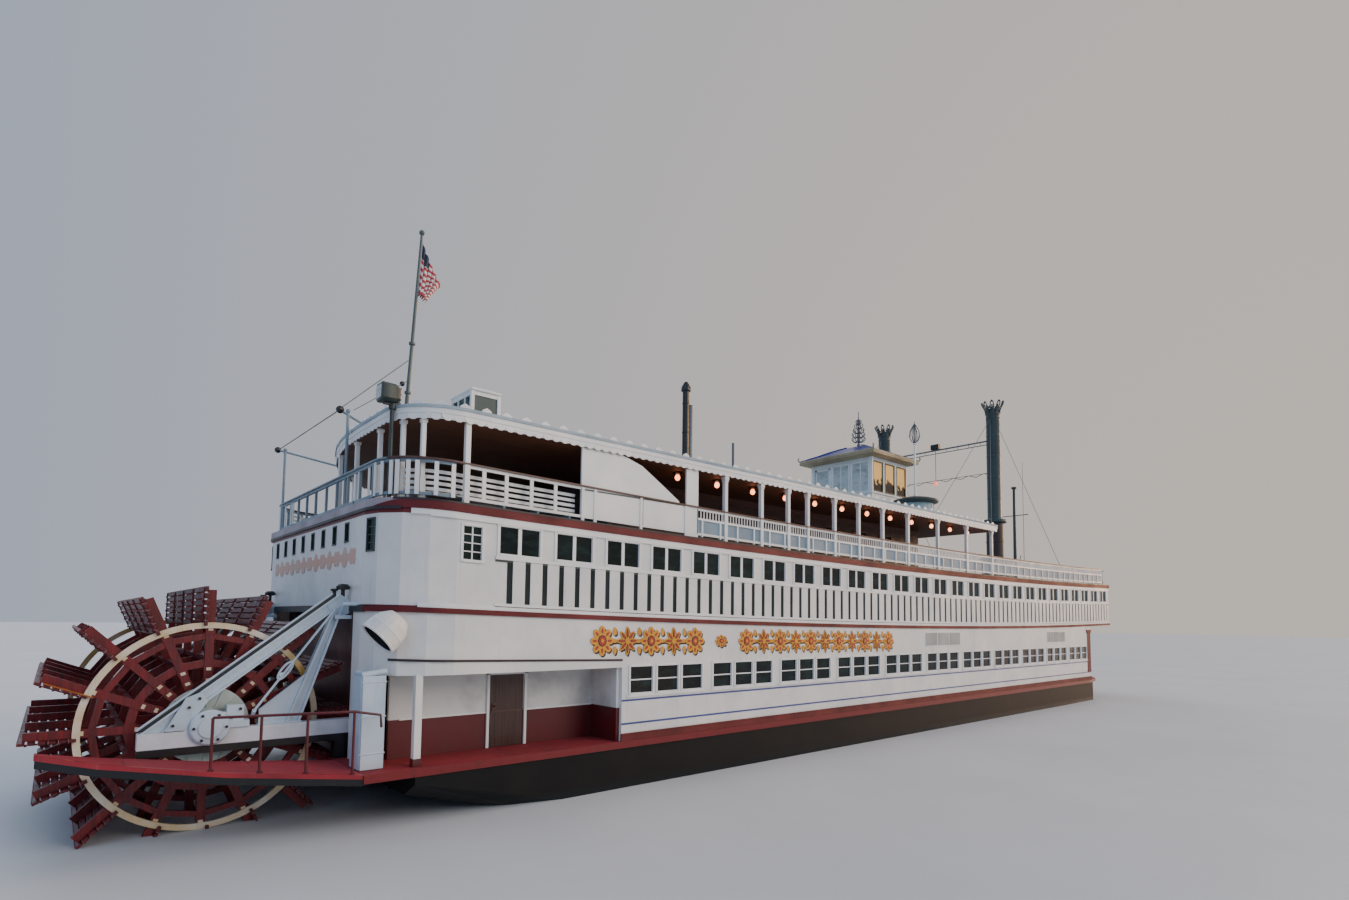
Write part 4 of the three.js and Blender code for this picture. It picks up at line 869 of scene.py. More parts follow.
# Black along the second deck's edge across the stern: painted shadow under the stern wall
edge("second_deck_edge_stern", stern_part(0.05, 2), 6.4, 6.58, ornament_black_and_painted_shade)
edge("second_deck_edge", deck_line(0.05)[1:], 6.42, 6.56, edge_red)
edge("second_deck_moulding", deck_line(0.03)[8:], 6.56, 6.68, white_trim)
edge("fascia_foot", [*deck_line(0.025)[5:13], (7.3, -7.025)], 5.17, 5.23, dark_line_and_painted_shadow, 0.05)

# Stripes on the main deck house, and its dark red boot
stripes = Shape()
for z0, z1 in ((4.14, 4.2), (3.42, 3.48)):
    stripes.box(7.3, 48.0, -7.008, -6.99, z0, z1)
piece("house_stripes", stripes.both_sides(), line_blue)
boot = Shape().box(7.28, 48.0, -7.04, -6.99, 2.9, 3.12)
boot.box(7.28, 48.0, -7.055, -6.99, 3.12, 3.16)
piece("house_boot", boot.both_sides(), edge_red)

# Windows of the main deck house, three sashes to a group
TRIO_SASHES = ((-1.565, -0.635), (-0.455, 0.465), (0.635, 1.565))
trio_frames, trio_panes = Shape(), Shape()
for a, b in TRIO_SASHES:
    window(trio_frames, trio_panes, a, b, 4.37, 5.22, 1, 2, 0.05, 0.05)
trio_frames.box(-1.7, 1.7, -0.05, 0.0, 4.27, 4.32)
trio_places = [(7.61 + 1.565 + 3.65 * i, -HALF_BEAM, 0.0, 0.0) for i in range(11)]
trio_places += [(x, HALF_BEAM, 0.0, math.pi) for x, *_ in trio_places]
spots("house_sashes", trio_frames, trio_places, white_trim)
spots("house_panes", trio_panes, trio_places, glass_main)

# Windows of the second deck, in pairs
pair_frames, pair_panes = Shape(), Shape()
window(pair_frames, pair_panes, -0.635, 0.635, 8.12, 8.9, 2, 1, 0.07, 0.11)
SASH_X = [6.635 + 1.813 * i + 0.635 for i in range(-2, 25)]
pair_places = [(x, -HALF_BEAM, 0.0, 0.0) for x in SASH_X] + [(x, HALF_BEAM, 0.0, math.pi) for x in SASH_X]
spots("cabin_sashes", pair_frames, pair_places, white_trim, SHEER_RATE)
spots("cabin_panes", pair_panes, pair_places, glass_deck2, SHEER_RATE)
aft_frames, aft_panes = Shape(), Shape()
window(aft_frames, aft_panes, -0.275, 0.275, 7.87, 8.79, 2, 4, 0.06, 0.035)
aft_places = [(2.225, -HALF_BEAM, 0.0, 0.0), (2.225, HALF_BEAM, 0.0, math.pi)]
spots("aft_sashes", aft_frames, aft_places, white_trim, SHEER_RATE)
spots("aft_panes", aft_panes, aft_places, glass_deck2, SHEER_RATE)

# Small dark windows across the stern, and the taller ones where it turns
stern_frames, stern_panes = Shape(), Shape()
window(stern_frames, stern_panes, -0.17, 0.17, 8.78, 9.3, 1, 1, 0.025, 0.03, proud=0.012)
stern_places = [(0.0, 4.36 - 1.158 * k, 0.0, -math.pi / 2) for k in range(8)]
spots("stern_sashes", stern_frames, stern_places, sash_dark_and_cap_shadow)
spots("stern_panes", stern_panes, stern_places, glass_deck2)
turn_frames, turn_panes = Shape(), Shape()
window(turn_frames, turn_panes, -0.18, 0.18, 8.42, 9.26, 1, 4, 0.03, 0.035, proud=0.015, y=-0.01)
turn_places = [(0.07, s * 5.56, 0.0, -math.pi / 2 - s * 0.196) for s in (-1, 1)]
spots("quarter_sashes", turn_frames, turn_places, sash_dark_and_cap_shadow)
spots("quarter_panes", turn_panes, turn_places, glass_deck2)

# Thin boards of the second deck over a dark sheet of painted shade, their cap with a strip of painted shadow
# under it, and the foot board
# The dark sheet behind the boards is painted shade
edge("board_backing", side_line(3.26, 51.54, 7.006), 6.76, 7.97, painted_gap_shade, 0.012)
long_board = Shape().box(-0.1915, 0.1915, -0.012, 0.012, 6.74, 7.98)
for side_name, side in SIDES:
    first = (3.6215, side * 7.014, 0)
    row(f"long_boards_{side_name}", long_board, 87, first, (0.553, 0, 0), white, SHEER_RATE)
cap = Shape().band(side_line(2.9, 51.88, 7.05), 7.96, 8.05, 0.06)
cap.band(side_line(2.9, 51.88, 7.03), 6.66, 6.76, 0.04)
piece("board_cap", cap.both_sides(), white_trim)
# A dark strip under the cap: painted shadow
edge("board_cap_shadow", side_line(2.9, 51.88, 7.02), 7.9, 7.96, sash_dark_and_cap_shadow, 0.03)

# Glass and door leaves just inside the round front walls
front_glass = Shape().band(deck_line(-0.06)[-19:], 8.25, 9.22, 0.02, sheered=False).both_sides()
piece("front_cabin_glass", front_glass, glass_deck2)
leaf = Shape()
for y in (-0.8, 0.0):
    leaf.box(54.19, 54.23, y + 0.02, y + 0.78, 7.1, 8.9)
    leaf.box(54.23, 54.25, y + 0.1, y + 0.7, 7.2, 7.8)
    leaf.box(54.23, 54.25, y + 0.1, y + 0.7, 8.0, 8.75)
piece("front_door_leaves", leaf, door_brown)
leaf = Shape()
for y in (-3.2, 3.2):
    leaf.box(47.91, 47.95, y - 0.54, y + 0.54, 2.93, 5.0)
    for z0, z1 in ((3.1, 3.8), (4.0, 4.85)):
        leaf.box(47.95, 47.97, y - 0.42, y + 0.42, z0, z1)
piece("hall_door_leaves", leaf, door_brown)


# Ornament along the fascia: a garland of flowers and leaf stars in gilt, with vermilion veins, black
# ribs and a black drop shadow
def lobed(w, h, low, lobes=4, steps=24):
    """Outline of round lobes between notches, low at the notches."""
    points = []
    for k in range(steps):
        a = math.tau * k / steps + math.pi / 4
        r = low + (1 - low) * abs(math.cos(lobes * (a - math.pi / 4) / 2)) ** 0.7
        points.append((w * r * math.cos(a), h * r * math.sin(a)))
    return points


def almond(w, h, tilt, cx, cz):
    """Outline of a pointed leaf, turned by its tilt about its middle."""
    points = []
    for k in range(12):
        a = math.tau * k / 12
        u, v = w * math.sin(a) * (1 - 0.35 * math.cos(a)), h * math.cos(a)
        x, z = u * math.cos(tilt) + v * math.sin(tilt), v * math.cos(tilt) - u * math.sin(tilt)
        points.append((cx + x, cz + z))
    return points


def ornament(layers):
    """Cut shapes one over another: each has its paint, its outline and how proud it stands."""
    shape = Shape()
    for mark, outline, proud in layers:
        if mark == 1 and proud < 0.035:
            shape.mark = 0
            shape.prism([(x + 0.05, z - 0.05) for x, z in outline], -0.014, 0.004)
        shape.mark = mark
        shape.prism(outline, -proud, 0.0)
    return shape


def bar(x0, x1, z0, z1):
    return [(x0, z0), (x1, z0), (x1, z1), (x0, z1)]


def rosette(w, h):
    """Eight gilt petals, each with a vermilion vein, about a vermilion eye."""
    layers = [(1, lobed(w, h, 0.64, 8, 48), 0.03)]
    for k in range(8):
        a = math.tau * k / 8
        c, s = w * math.cos(a), h * math.sin(a)
        layers.append((2, almond(0.09 * w, 0.17 * h, math.atan2(c, s), 0.66 * c, 0.66 * s), 0.038))
    layers.append((0, lobed(w * 0.4, h * 0.4, 0.9, 8, 16), 0.036))
    layers.append((2, lobed(w * 0.34, h * 0.34, 0.8, 8, 16), 0.042))
    layers.append((1, lobed(w * 0.13, h * 0.13, 0.9, 8, 8), 0.05))
    return ornament(layers)


def leaf_star(w, h):
    """Eight pointed leaves with black and vermilion ribs: long ones upright and level, short ones between."""
    layers = []
    for k in range(8):
        a, reach = math.tau * k / 8, 1.0 if k % 2 == 0 else 0.92
        c, s = w * math.cos(a) * reach, h * math.sin(a) * reach
        tilt, half = math.atan2(c, s), math.hypot(c, s) / 2
        layers.append((1, almond(0.21 * w, half, tilt, c / 2, s / 2), 0.03 + 0.001 * (k % 2)))
        layers.append((0, almond(0.1 * w, half * 0.62, tilt, c * 0.55, s * 0.55), 0.036))
        layers.append((2, almond(0.07 * w, half * 0.52, tilt, c * 0.55, s * 0.55), 0.042))
    return ornament([*layers, (1, lobed(w * 0.24, h * 0.24, 0.9, 8, 16), 0.05)])


def fascia_band():
    """Motifs with the pitch, height and colour of the painted band in the photograph, with buds between."""
    band = Shape()
    groups = ([(6.5 + 0.968 * k, 0.43, 0.46) for k in range(5)], [(11.65, 0.3, 0.22)],
              [(12.95 + 0.945 * k, 0.42, 0.45) for k in range(11)])
    bud = [(1, almond(0.07, 0.13, 0, 0, 0.3), 0.026), (1, almond(0.07, 0.13, math.pi, 0, -0.3), 0.026),
           (1, almond(0.06, 0.2, math.pi / 2, 0, 0), 0.02)]

    def set_at(unit, x):
        band.join(unit.moved(Matrix.Translation((x, -HALF_BEAM, 6.04 - 0.011 * (x - 6.0)))))

    for group in groups:
        for k, (x, w, h) in enumerate(group):
            set_at((rosette if k % 2 == 0 else leaf_star)(w, h), x)
            if k:
                set_at(ornament(bud), (x + group[k - 1][0]) / 2)
    return band


piece("fascia_ornament", fascia_band().both_sides(), ornament_black_and_painted_shade, gilt, vermilion)
stern_band = Shape()
for k in range(13):
    unit = lobed(0.3, 0.27, 0.6, steps=16) if k % 2 == 0 else almond(0.24, 0.29, 0, 0, 0)
    stern_band.prism([(4.35 - 0.725 * k + x, 8.34 + z) for x, z in unit], -0.012, 0.01)
for k in range(12):
    stern_band.prism([(4.0 - 0.725 * k + x, 8.34 + z) for x, z in bar(-0.2, 0.2, -0.1, 0.1)], -0.01, 0.01)
piece("stern_ornament", stern_band.moved(Matrix.Rotation(-math.pi / 2, 4, "Z")), apricot_faded)

# Louvre panels of the fascia, three leaves each
louvres = Shape()
for x0, x1 in ((25.7, 29.2), (40.5, 43.4)):
    third = (x1 - x0) / 3
    for k in range(3):
        a, b = x0 + third * k + 0.06, x0 + third * (k + 1) - 0.06
        louvres.mark = 1
        louvres.box(a - 0.05, b + 0.05, -7.02, -6.99, 5.55, 6.27)
        louvres.mark = 0
        louvres.box(a, b, -7.03, -7.0, 5.6, 6.22)
        for step in range(7):
            z = 5.62 + 0.085 * step
            louvres.prism([(a, z), (b, z), (b, z + 0.035), (a, z + 0.035)], -7.045, -7.02)
piece("fascia_louvres", louvres.both_sides(), louvre_grey, white_trim)
corner_post = Shape().box(47.42, 47.99, -7.03, -6.98, 3.55, 6.1)
corner_post.prism([(47.36, 6.1), (48.02, 6.1), (48.16, 6.36), (47.2, 6.36)], -7.045, -6.98)
corner_post.box(47.38, 48.02, -7.045, -6.98, 3.48, 3.6)
piece("house_corner_post", corner_post.both_sides(), edge_red, bevel=0.01)


# Roof edge: fascia, gutter, a scalloped fringe below it and small upstands above it
def level(line, z0, z1, thick):
    return Shape().band(line, z0, z1, thick, sheered=False)


piece("roof_fascia", level(roof_line(0.03), 12.1, 12.27, 0.04), white_trim)
piece("roof_gutter", level(roof_line(0.06), 12.24, 12.32, 0.1), roof_pale)
piece("roof_upper_line", level(roof_line(-0.55), 12.2, 12.43, 0.06), roof_line_blue)
scallop = Shape()
drop = [(-0.15, 0.16), (-0.15, 0.06), (-0.12, 0.0), (-0.05, -0.05), (0.05, -0.05), (0.12, 0.0),
        (0.15, 0.06), (0.15, 0.16)]
scallop.prism(drop, -0.012, 0.012)
spots("roof_fringe", scallop, [(x, y, 11.97, t) for x, y, _, t in along(roof_line(0.0), 0.3)], white_trim)
upstand = Shape()
upstand.prism([(-0.16, 0.0), (0.16, 0.0), (0.13, 0.09), (0.0, 0.16), (-0.13, 0.09)], -0.015, 0.015)
spots("roof_upstands", upstand, [(x, y, 12.3, t) for x, y, _, t in along(roof_line(-0.02), 0.62)], white_trim)

# Posts that carry the roof round the stern
posts = Shape()
for x, y in ((0.72, -0.3), (0.56, -2.5), (0.56, -4.5), (0.7, -5.85), (1.05, -6.35), (2.2, 3.2), (4.1, 5.5)):
    posts.box(x - 0.06, x + 0.06, y - 0.06, y + 0.06, DECK3 + 0.3, ROOF_UNDER)
    posts.box(x - 0.085, x + 0.085, y - 0.085, y + 0.085, ROOF_UNDER - 0.1, ROOF_UNDER)
    posts.box(x - 0.075, x + 0.075, y - 0.075, y + 0.075, DECK3 + 0.3, RAIL_TOP - 0.1)
piece("stern_roof_posts", posts, white_trim, bevel=0.01)

# Mouldings on the roof posts
post_caps = []
for x in (12.0, 13.96, 15.56, 16.8, 18.64, 20.42, 22.34, 24.55, 27.42, 30.5, 33.5):
    for side in (-1, 1):
        post_caps.append((x + 0.07, side * (RAIL_Y - 0.035), ROOF_UNDER - 0.14))
collar = Shape().box(-0.1, 0.1, -0.1, 0.1, 0.0, 0.13)
collar.box(-0.085, 0.085, -0.085, 0.085, -0.07, 0.0)
spots("roof_post_caps", collar, post_caps, white_trim)

# Promenade rails: white balusters over blue grey panels, a mid rail, a varnished cap, and seats on
# the quarters
baluster = Shape().box(-0.018, 0.018, -0.015, 0.015, DECK3 + 0.76, RAIL_TOP - 0.06)
baluster_count = int((51.3 - 10.8) / 0.15)
for side_name, side in SIDES:
    first = (10.85, side * (RAIL_Y - 0.035), 0)
    row(f"promenade_balusters_{side_name}", baluster, baluster_count, first, (0.15, 0, 0), white_trim,
        SHEER_RATE)
panel_low, panel_top, mid_top = DECK3 + 0.2, DECK3 + 0.68, DECK3 + 0.76
edge("promenade_lower_panels", side_line(10.7, 51.4, RAIL_Y - 0.03), panel_low, panel_top, locker_blue, 0.015)
edge("promenade_mid_rail", side_line(10.7, 51.4, RAIL_Y + 0.012), panel_top, mid_top, white_trim, 0.09)
stile = Shape().box(-0.035, 0.035, -0.045, 0.045, DECK3 + 0.1, DECK3 + 0.7)
stile_places = [(10.9 + 0.9 * k, s * (RAIL_Y - 0.035), 0) for k in range(45) for s in (-1, 1)]
spots("promenade_stiles", stile, stile_places, white_trim, SHEER_RATE)
rail_half = [p for p in deck_line(-0.17, 51.4) if p[1] < 0]
edge("promenade_rail_cap", rail_half[3:], RAIL_TOP, RAIL_TOP + 0.05, rail_brown, 0.16)
edge("stern_rail_cap", [(0.17, 0.0), *rail_half[:4]], RAIL_TOP, RAIL_TOP + 0.04, rail_grey, 0.14)
QUARTER_BOARDS = ((0.22, -3.47), (0.23, -3.81), (0.23, -4.66), (0.22, -5.26), (0.28, -5.61), (0.4, -5.93),
                  (0.49, -6.11), (0.7, -6.32), (0.87, -6.49), (1.29, -6.72), (1.73, -6.77), (2.62, -6.77),
                  (3.3, -6.77), (4.1, -6.77), (4.9, -6.77))
board = Shape().box(-0.055, 0.055, 0.0, 0.03, DECK3 + 0.15, RAIL_TOP - 0.05)
board_places = []
for x, y in QUARTER_BOARDS:
    heading = 0.0 if x > 1.8 else math.atan2(-(x - 1.8), -(-y - 5.2)) if y < -5.2 else -math.pi / 2
    board_places += [(x, y, 0, heading), (x, -y, 0, math.pi - heading)]
spots("quarter_boards", board, board_places, white_trim, SHEER_RATE)
seat_line = [p for p in deck_line(-0.5, 5.75) if p[1] < 0][4:]
seat = Shape()
for z in (9.68, 9.84, 10.0, 10.16):
    seat.band(seat_line, z, z + 0.09, 0.04)
seat.band(offset(seat_line, -0.05), 9.62, 9.67, 0.5)
piece("quarter_seats", seat.both_sides(), white_trim)
legs = [(x, y, 0, t) for x, y, _, t in along(offset(seat_line, -0.2), 1.1)]
legs += [(x, -y, 0, math.pi - t) for x, y, _, t in legs]
spots("quarter_seat_legs", Shape().box(-0.03, 0.03, -0.2, 0.2, 9.36, 9.63), legs, rail_grey, SHEER_RATE)

# Seams and trim of the panelled bulwark
seams = Shape()
for x in (5.84, 6.3, 8.2, 10.12, 10.66):
    seams.box(x - 0.012, x + 0.012, -6.792, -6.75, 9.55 + sheer(x), 10.42 + sheer(x))
seams.box(5.8, 10.1, -6.795, -6.75, 10.62, 10.66)
piece("bulwark_seams", seams.both_sides(), sash_dark_and_cap_shadow)
ribs = Shape()
for x in (5.8, 6.26, 8.08, 10.05):
    ribs.box(x, x + 0.1, -6.805, -6.76, 9.4 + sheer(x), 10.45 + sheer(x))
piece("bulwark_ribs", ribs.both_sides(), white_trim)

# Lamps on the ceiling of the promenade, lit
lamp_places = [(10.35 + 1.98 * k, s * 6.05, 0) for k in range(12) for s in (-1, 1)]
SHADE = [(0.05, 11.945), (0.16, 11.94), (0.17, 11.9), (0.1, 11.86), (0.05, 11.86)]
GLOBE = [(0.02, 11.65), (0.07, 11.68), (0.1, 11.75), (0.08, 11.82), (0.04, 11.87)]
shade = Shape().lathe(SHADE, (0, 0, 0), 12)
globe = Shape().lathe(GLOBE, (0, 0, 0), 12)
spots("promenade_lamp_shades", shade, lamp_places, black_iron)
spots("promenade_lamp_globes", globe, lamp_places, lamp_glow)

# Cabin on the third deck: sashes, panes, a dado, and door leaves
cabin_frames, cabin_panes = Shape(), Shape()
window(cabin_frames, cabin_panes, -0.55, 0.55, 10.46, 11.36, 2, 2, 0.07, 0.05)
cabin_places = [(10.75 + 2.4 * k, -3.7, 0, 0) for k in range(8)]
cabin_places += [(x, 3.7, 0, math.pi) for x, *_ in cabin_places]
spots("upper_cabin_sashes", cabin_frames, cabin_places, rail_brown)
spots("upper_cabin_panes", cabin_panes, cabin_places, glass_lit)
dado = Shape().band(side_line(9.0, 31.0, 3.73), 9.38, 9.62, 0.04)
dado.band(side_line(9.0, 31.0, 3.72), 10.3, 10.37, 0.03)
dado.box(9.0, 31.0, -3.74, -3.7, 11.7, 11.94)
piece("upper_cabin_trim", dado.both_sides(), rail_brown)
leaf = Shape()
for x in (9.04, 30.92):
    leaf.box(x, x + 0.04, -0.58, 0.58, DECK3 + 0.22, DECK3 + 2.2)
piece("upper_cabin_doors", leaf, door_brown)

# Lockers on the open deck by the chimneys
lockers = Shape()
for x0, x1 in ((36.5, 37.75), (37.85, 39.2)):
    lockers.box(x0, x1, -5.7, -4.8, 9.42, 10.6)
    lockers.box(x0 - 0.04, x1 + 0.04, -5.76, -4.74, 10.6, 10.7)
    lockers.box(x0 + 0.08, x1 - 0.08, -5.72, -5.69, 9.55, 10.5)
piece("deck_lockers", lockers.both_sides(), locker_blue, bevel=0.012)

# Pilothouse: sashes and panes, corner boards, sills
pilot_frames, pilot_panes = Shape(), Shape()
window(pilot_frames, pilot_panes, -0.475, 0.475, PILOT_SILL, PILOT_HEAD, 1, 1, 0.04, 0.05, proud=0.02)
bay = (PILOT_X[1] - PILOT_X[0]) / 3
side_bays = []
for k in range(3):
    side_bays += [(PILOT_X[0] + bay * (k + 0.5), s * PILOT_Y, 0, 0 if s < 0 else math.pi) for s in (-1, 1)]
spots("pilot_side_sashes", pilot_frames, side_bays, sash_dark_and_cap_shadow)
spots("pilot_side_panes", pilot_panes, side_bays, glass_painted_sun_glow)
end_frames, end_panes = Shape(), Shape()
window(end_frames, end_panes, -0.55, 0.55, PILOT_SILL, PILOT_HEAD, 2, 1, 0.04, 0.05, proud=0.02)
END_Y, END_BAY = 2.0092, 1.33947
aft_bays = [(PILOT_X[0], END_Y - END_BAY * (k + 0.5), 0, -math.pi / 2) for k in (1, 2)]
fore_bays = [(PILOT_X[1], END_Y - END_BAY * (k + 0.5), 0, math.pi / 2) for k in range(3)]
spots("pilot_end_sashes", end_frames, aft_bays + fore_bays, white_trim)
spots("pilot_end_panes", end_panes, aft_bays + fore_bays, glass_painted_sky_reflection)
pilot_door = Shape()
door_y = END_Y - END_BAY / 2
for y in (door_y - 0.52, door_y + 0.44):
    pilot_door.box(28.78, 28.83, y, y + 0.08, 12.62, 15.98)
for z0, z1 in ((12.62, 12.8), (13.85, 13.97), (15.88, 15.98)):
    pilot_door.box(28.78, 28.83, door_y - 0.52, door_y + 0.52, z0, z1)
pilot_door.box(28.8, 28.82, door_y - 0.5, door_y + 0.5, 12.64, 13.9)
piece("pilot_door", pilot_door, white_trim)
piece("pilot_door_pane", Shape().box(28.8, 28.82, door_y - 0.48, door_y + 0.48, 13.9, 15.95), glass_painted_sky_reflection)
trim = Shape()
for x in PILOT_X:
    for y in (-PILOT_Y, PILOT_Y):
        sx, sy = (1 if x == PILOT_X[1] else -1), (1 if y > 0 else -1)
        face_x, face_y = x + sx * 0.02, y + sy * 0.02
        trim.box(*sorted((face_x, x - sx * 0.14)), *sorted((face_y, y)), 12.46, PILOT_EAVE)
        trim.box(*sorted((face_x, x)), *sorted((face_y, y - sy * 0.14)), 12.46, PILOT_EAVE)
for z in (12.55, 14.18):
    trim.box(PILOT_X[0] - 0.05, PILOT_X[1] + 0.05, -PILOT_Y - 0.05, -PILOT_Y + 0.01, z - 0.05, z + 0.04)
    trim.box(PILOT_X[0] - 0.05, PILOT_X[1] + 0.05, PILOT_Y - 0.01, PILOT_Y + 0.05, z - 0.05, z + 0.04)
trim.box(PILOT_X[0] - 0.05, PILOT_X[0] + 0.01, -PILOT_Y, 0.65, 14.13, 14.22)
trim.box(PILOT_X[1] - 0.01, PILOT_X[1] + 0.05, -PILOT_Y, PILOT_Y, 14.13, 14.22)
piece("pilot_trim", trim, white_trim, bevel=0.008)

# Its roof: tan scalloped eave with turned up corners, blue slopes, a low ridge, a fir tree finial in cut iron
PILOT_MID_X = sum(PILOT_X) / 2
EAVE_X, EAVE_Y = (PILOT_X[1] - PILOT_X[0]) / 2 + 0.62, PILOT_Y + 0.5


def hip_ring(k, z, cut=0.06):
    hx, hy = EAVE_X * k, EAVE_Y * k
    c = min(cut, hx / 3, hy / 3)
    plan = [(-hx, -hy + c), (-hx + c, -hy), (hx - c, -hy), (hx, -hy + c),
            (hx, hy - c), (hx - c, hy), (-hx + c, hy), (-hx, hy - c)]
    return [(PILOT_MID_X + x, y, z) for x, y in plan]


hip = Shape()
hip.mark = 1
eave = ((0.8, 16.24), (0.86, 16.25), (0.97, 16.36), (1.0, 16.42), (1.0, 16.53), (0.985, 16.57))
hip.layers([hip_ring(k, z) for k, z in eave])
hip.mark = 0
slopes = ((0.975, 16.56), (0.9, 16.62), (0.84, 16.7), (0.7, 16.85), (0.5, 17.1), (0.34, 17.27),
          (0.2, 17.4), (0.1, 17.47))
hip.layers([hip_ring(k, z) for k, z in slopes])
for sx in (-1, 1):
    for sy in (-1, 1):
        corner = [(PILOT_MID_X + sx * EAVE_X * k, sy * EAVE_Y * k, z + 0.03) for k, z in slopes[:7]]
        hip.path(corner, 0.035, 6)
hip.mark = 1
for sx in (-1, 1):
    for sy in (-1, 1):
        x, y = PILOT_MID_X + sx * EAVE_X * 0.96, sy * EAVE_Y * 0.96
        hip.path([(x, y, 16.5), (x + sx * 0.1, y + sy * 0.1, 16.56), (x + sx * 0.15, y + sy * 0.15, 16.68),
                  (x + sx * 0.12, y + sy * 0.12, 16.8)], 0.05, 6)
tree = Shape()
tree.mark = 2
TRUNK = [(0.1, 17.42), (0.11, 17.6), (0.05, 17.72), (0.045, 19.1), (0.075, 19.16), (0.03, 19.24),
         (0.02, 19.7)]
tree.lathe(TRUNK, (PILOT_MID_X, 0, 0), 10)
TIERS = ((17.82, 0.42, 8), (18.1, 0.4, 8), (18.38, 0.34, 8), (18.66, 0.25, 6), (18.9, 0.16, 6))
for z, reach, count in TIERS:
    for k in range(count):
        a = math.tau * (k + 0.5 * (z * 10 % 2 > 1)) / count
        c, s = math.cos(a), math.sin(a)
        line = [(0.04, 0.0), (reach * 0.5, -0.05), (reach * 0.85, 0.03), (reach, 0.16), (reach * 0.82, 0.26)]
        tree.path([(PILOT_MID_X + r * c, r * s, z + h) for r, h in line], 0.028, 5)
piece("pilothouse_roof_skin", hip.join(tree), roof_blue, eave_tan, grey_iron, replaces=("pilothouse_roof",))
eave_line = [(x, y) for x, y, _ in hip_ring(0.99, 0)]
eave_line = [*eave_line[::-1], eave_line[-1]]
small_drop = [(-0.1, 0.1), (-0.1, 0.02), (-0.05, -0.04), (0.05, -0.04), (0.1, 0.02), (0.1, 0.1)]
scallop_small = Shape().prism(small_drop, -0.012, 0.012)
eave_places = [(x, y, 16.36, t) for x, y, _, t in along(eave_line, 0.2)]
spots("pilot_eave_scallops", scallop_small, eave_places, eave_tan)

# Round cupola with its battens, brim and tall pole with a cut iron leaf
CUPOLA = (30.9, -3.6, 0)
drum = Shape()
drum.lathe([(1.0, ROOF_FOOT), (1.0, 13.53), (0.98, 13.56)], CUPOLA, 40)
for k in range(20):
    a = math.tau * k / 20
    x, y = CUPOLA[0] + 1.0 * math.cos(a), CUPOLA[1] + 1.0 * math.sin(a)
    drum.tube((x, y, ROOF_FOOT + 0.02), (x, y, 13.52), 0.02, 6)
drum.mark = 1
BRIM = [(1.02, 13.5), (1.24, 13.57), (1.27, 13.62), (1.27, 13.7), (1.22, 13.74), (0.9, 13.84), (0.5, 13.93),
        (0.12, 13.97)]
drum.lathe(BRIM, CUPOLA, 40)
drum.mark = 2
drum.lathe([(0.1, 13.96), (0.055, 14.2), (0.05, 17.0), (0.09, 17.04), (0.04, 17.12)], CUPOLA, 12)
drum.mark = 3
drum.lathe([(0.035, 17.1), (0.03, 18.25), (0.01, 18.4)], CUPOLA, 8)
for k in range(8):
    a = math.tau * k / 8
    line = [(0.03, 17.12), (0.2, 17.25), (0.295, 17.5), (0.26, 17.8), (0.14, 18.05), (0.03, 18.22)]
    drum.path([(CUPOLA[0] + r * math.cos(a), CUPOLA[1] + r * math.sin(a), z) for r, z in line], 0.022, 5)
piece("roof_cupola_drum", drum, cupola_green, sash_dark_and_cap_shadow, white_trim, grey_iron, replaces=("roof_cupola",))

# Chimneys: riveted rings, collar, and a crown of curled leaves
STACK_LOW = DECK3 + 0.1
STACK_FLANGE = [(0.6, STACK_LOW + 0.02), (0.62, STACK_LOW + 0.06), (0.6, STACK_LOW + 0.14),
                (0.53, STACK_LOW + 0.16)]
STACK_COLLAR = [(0.53, 13.24), (0.7, 13.3), (0.74, 13.34), (0.74, 13.46), (0.7, 13.5),
                (0.46, 13.56), (0.43, 13.6)]
STACK_UPPER = [(0.425, 13.55), (0.425, 20.5), (0.46, 20.56), (0.46, 20.62), (0.41, 20.66), (0.4, 20.9)]
CROWN_LEAF = [(0.43, 20.55, 0.5), (0.45, 20.8, 1.0), (0.54, 21.05, 1.15), (0.65, 21.25, 0.8),
              (0.69, 21.38, 0.2)]
CROWN_TIP = [(0.66, 21.27), (0.69, 21.36), (0.66, 21.4), (0.6, 21.38), (0.59, 21.3)]
CROWN_ROOT = [(0.42, 20.6), (0.47, 20.95), (0.55, 21.15)]


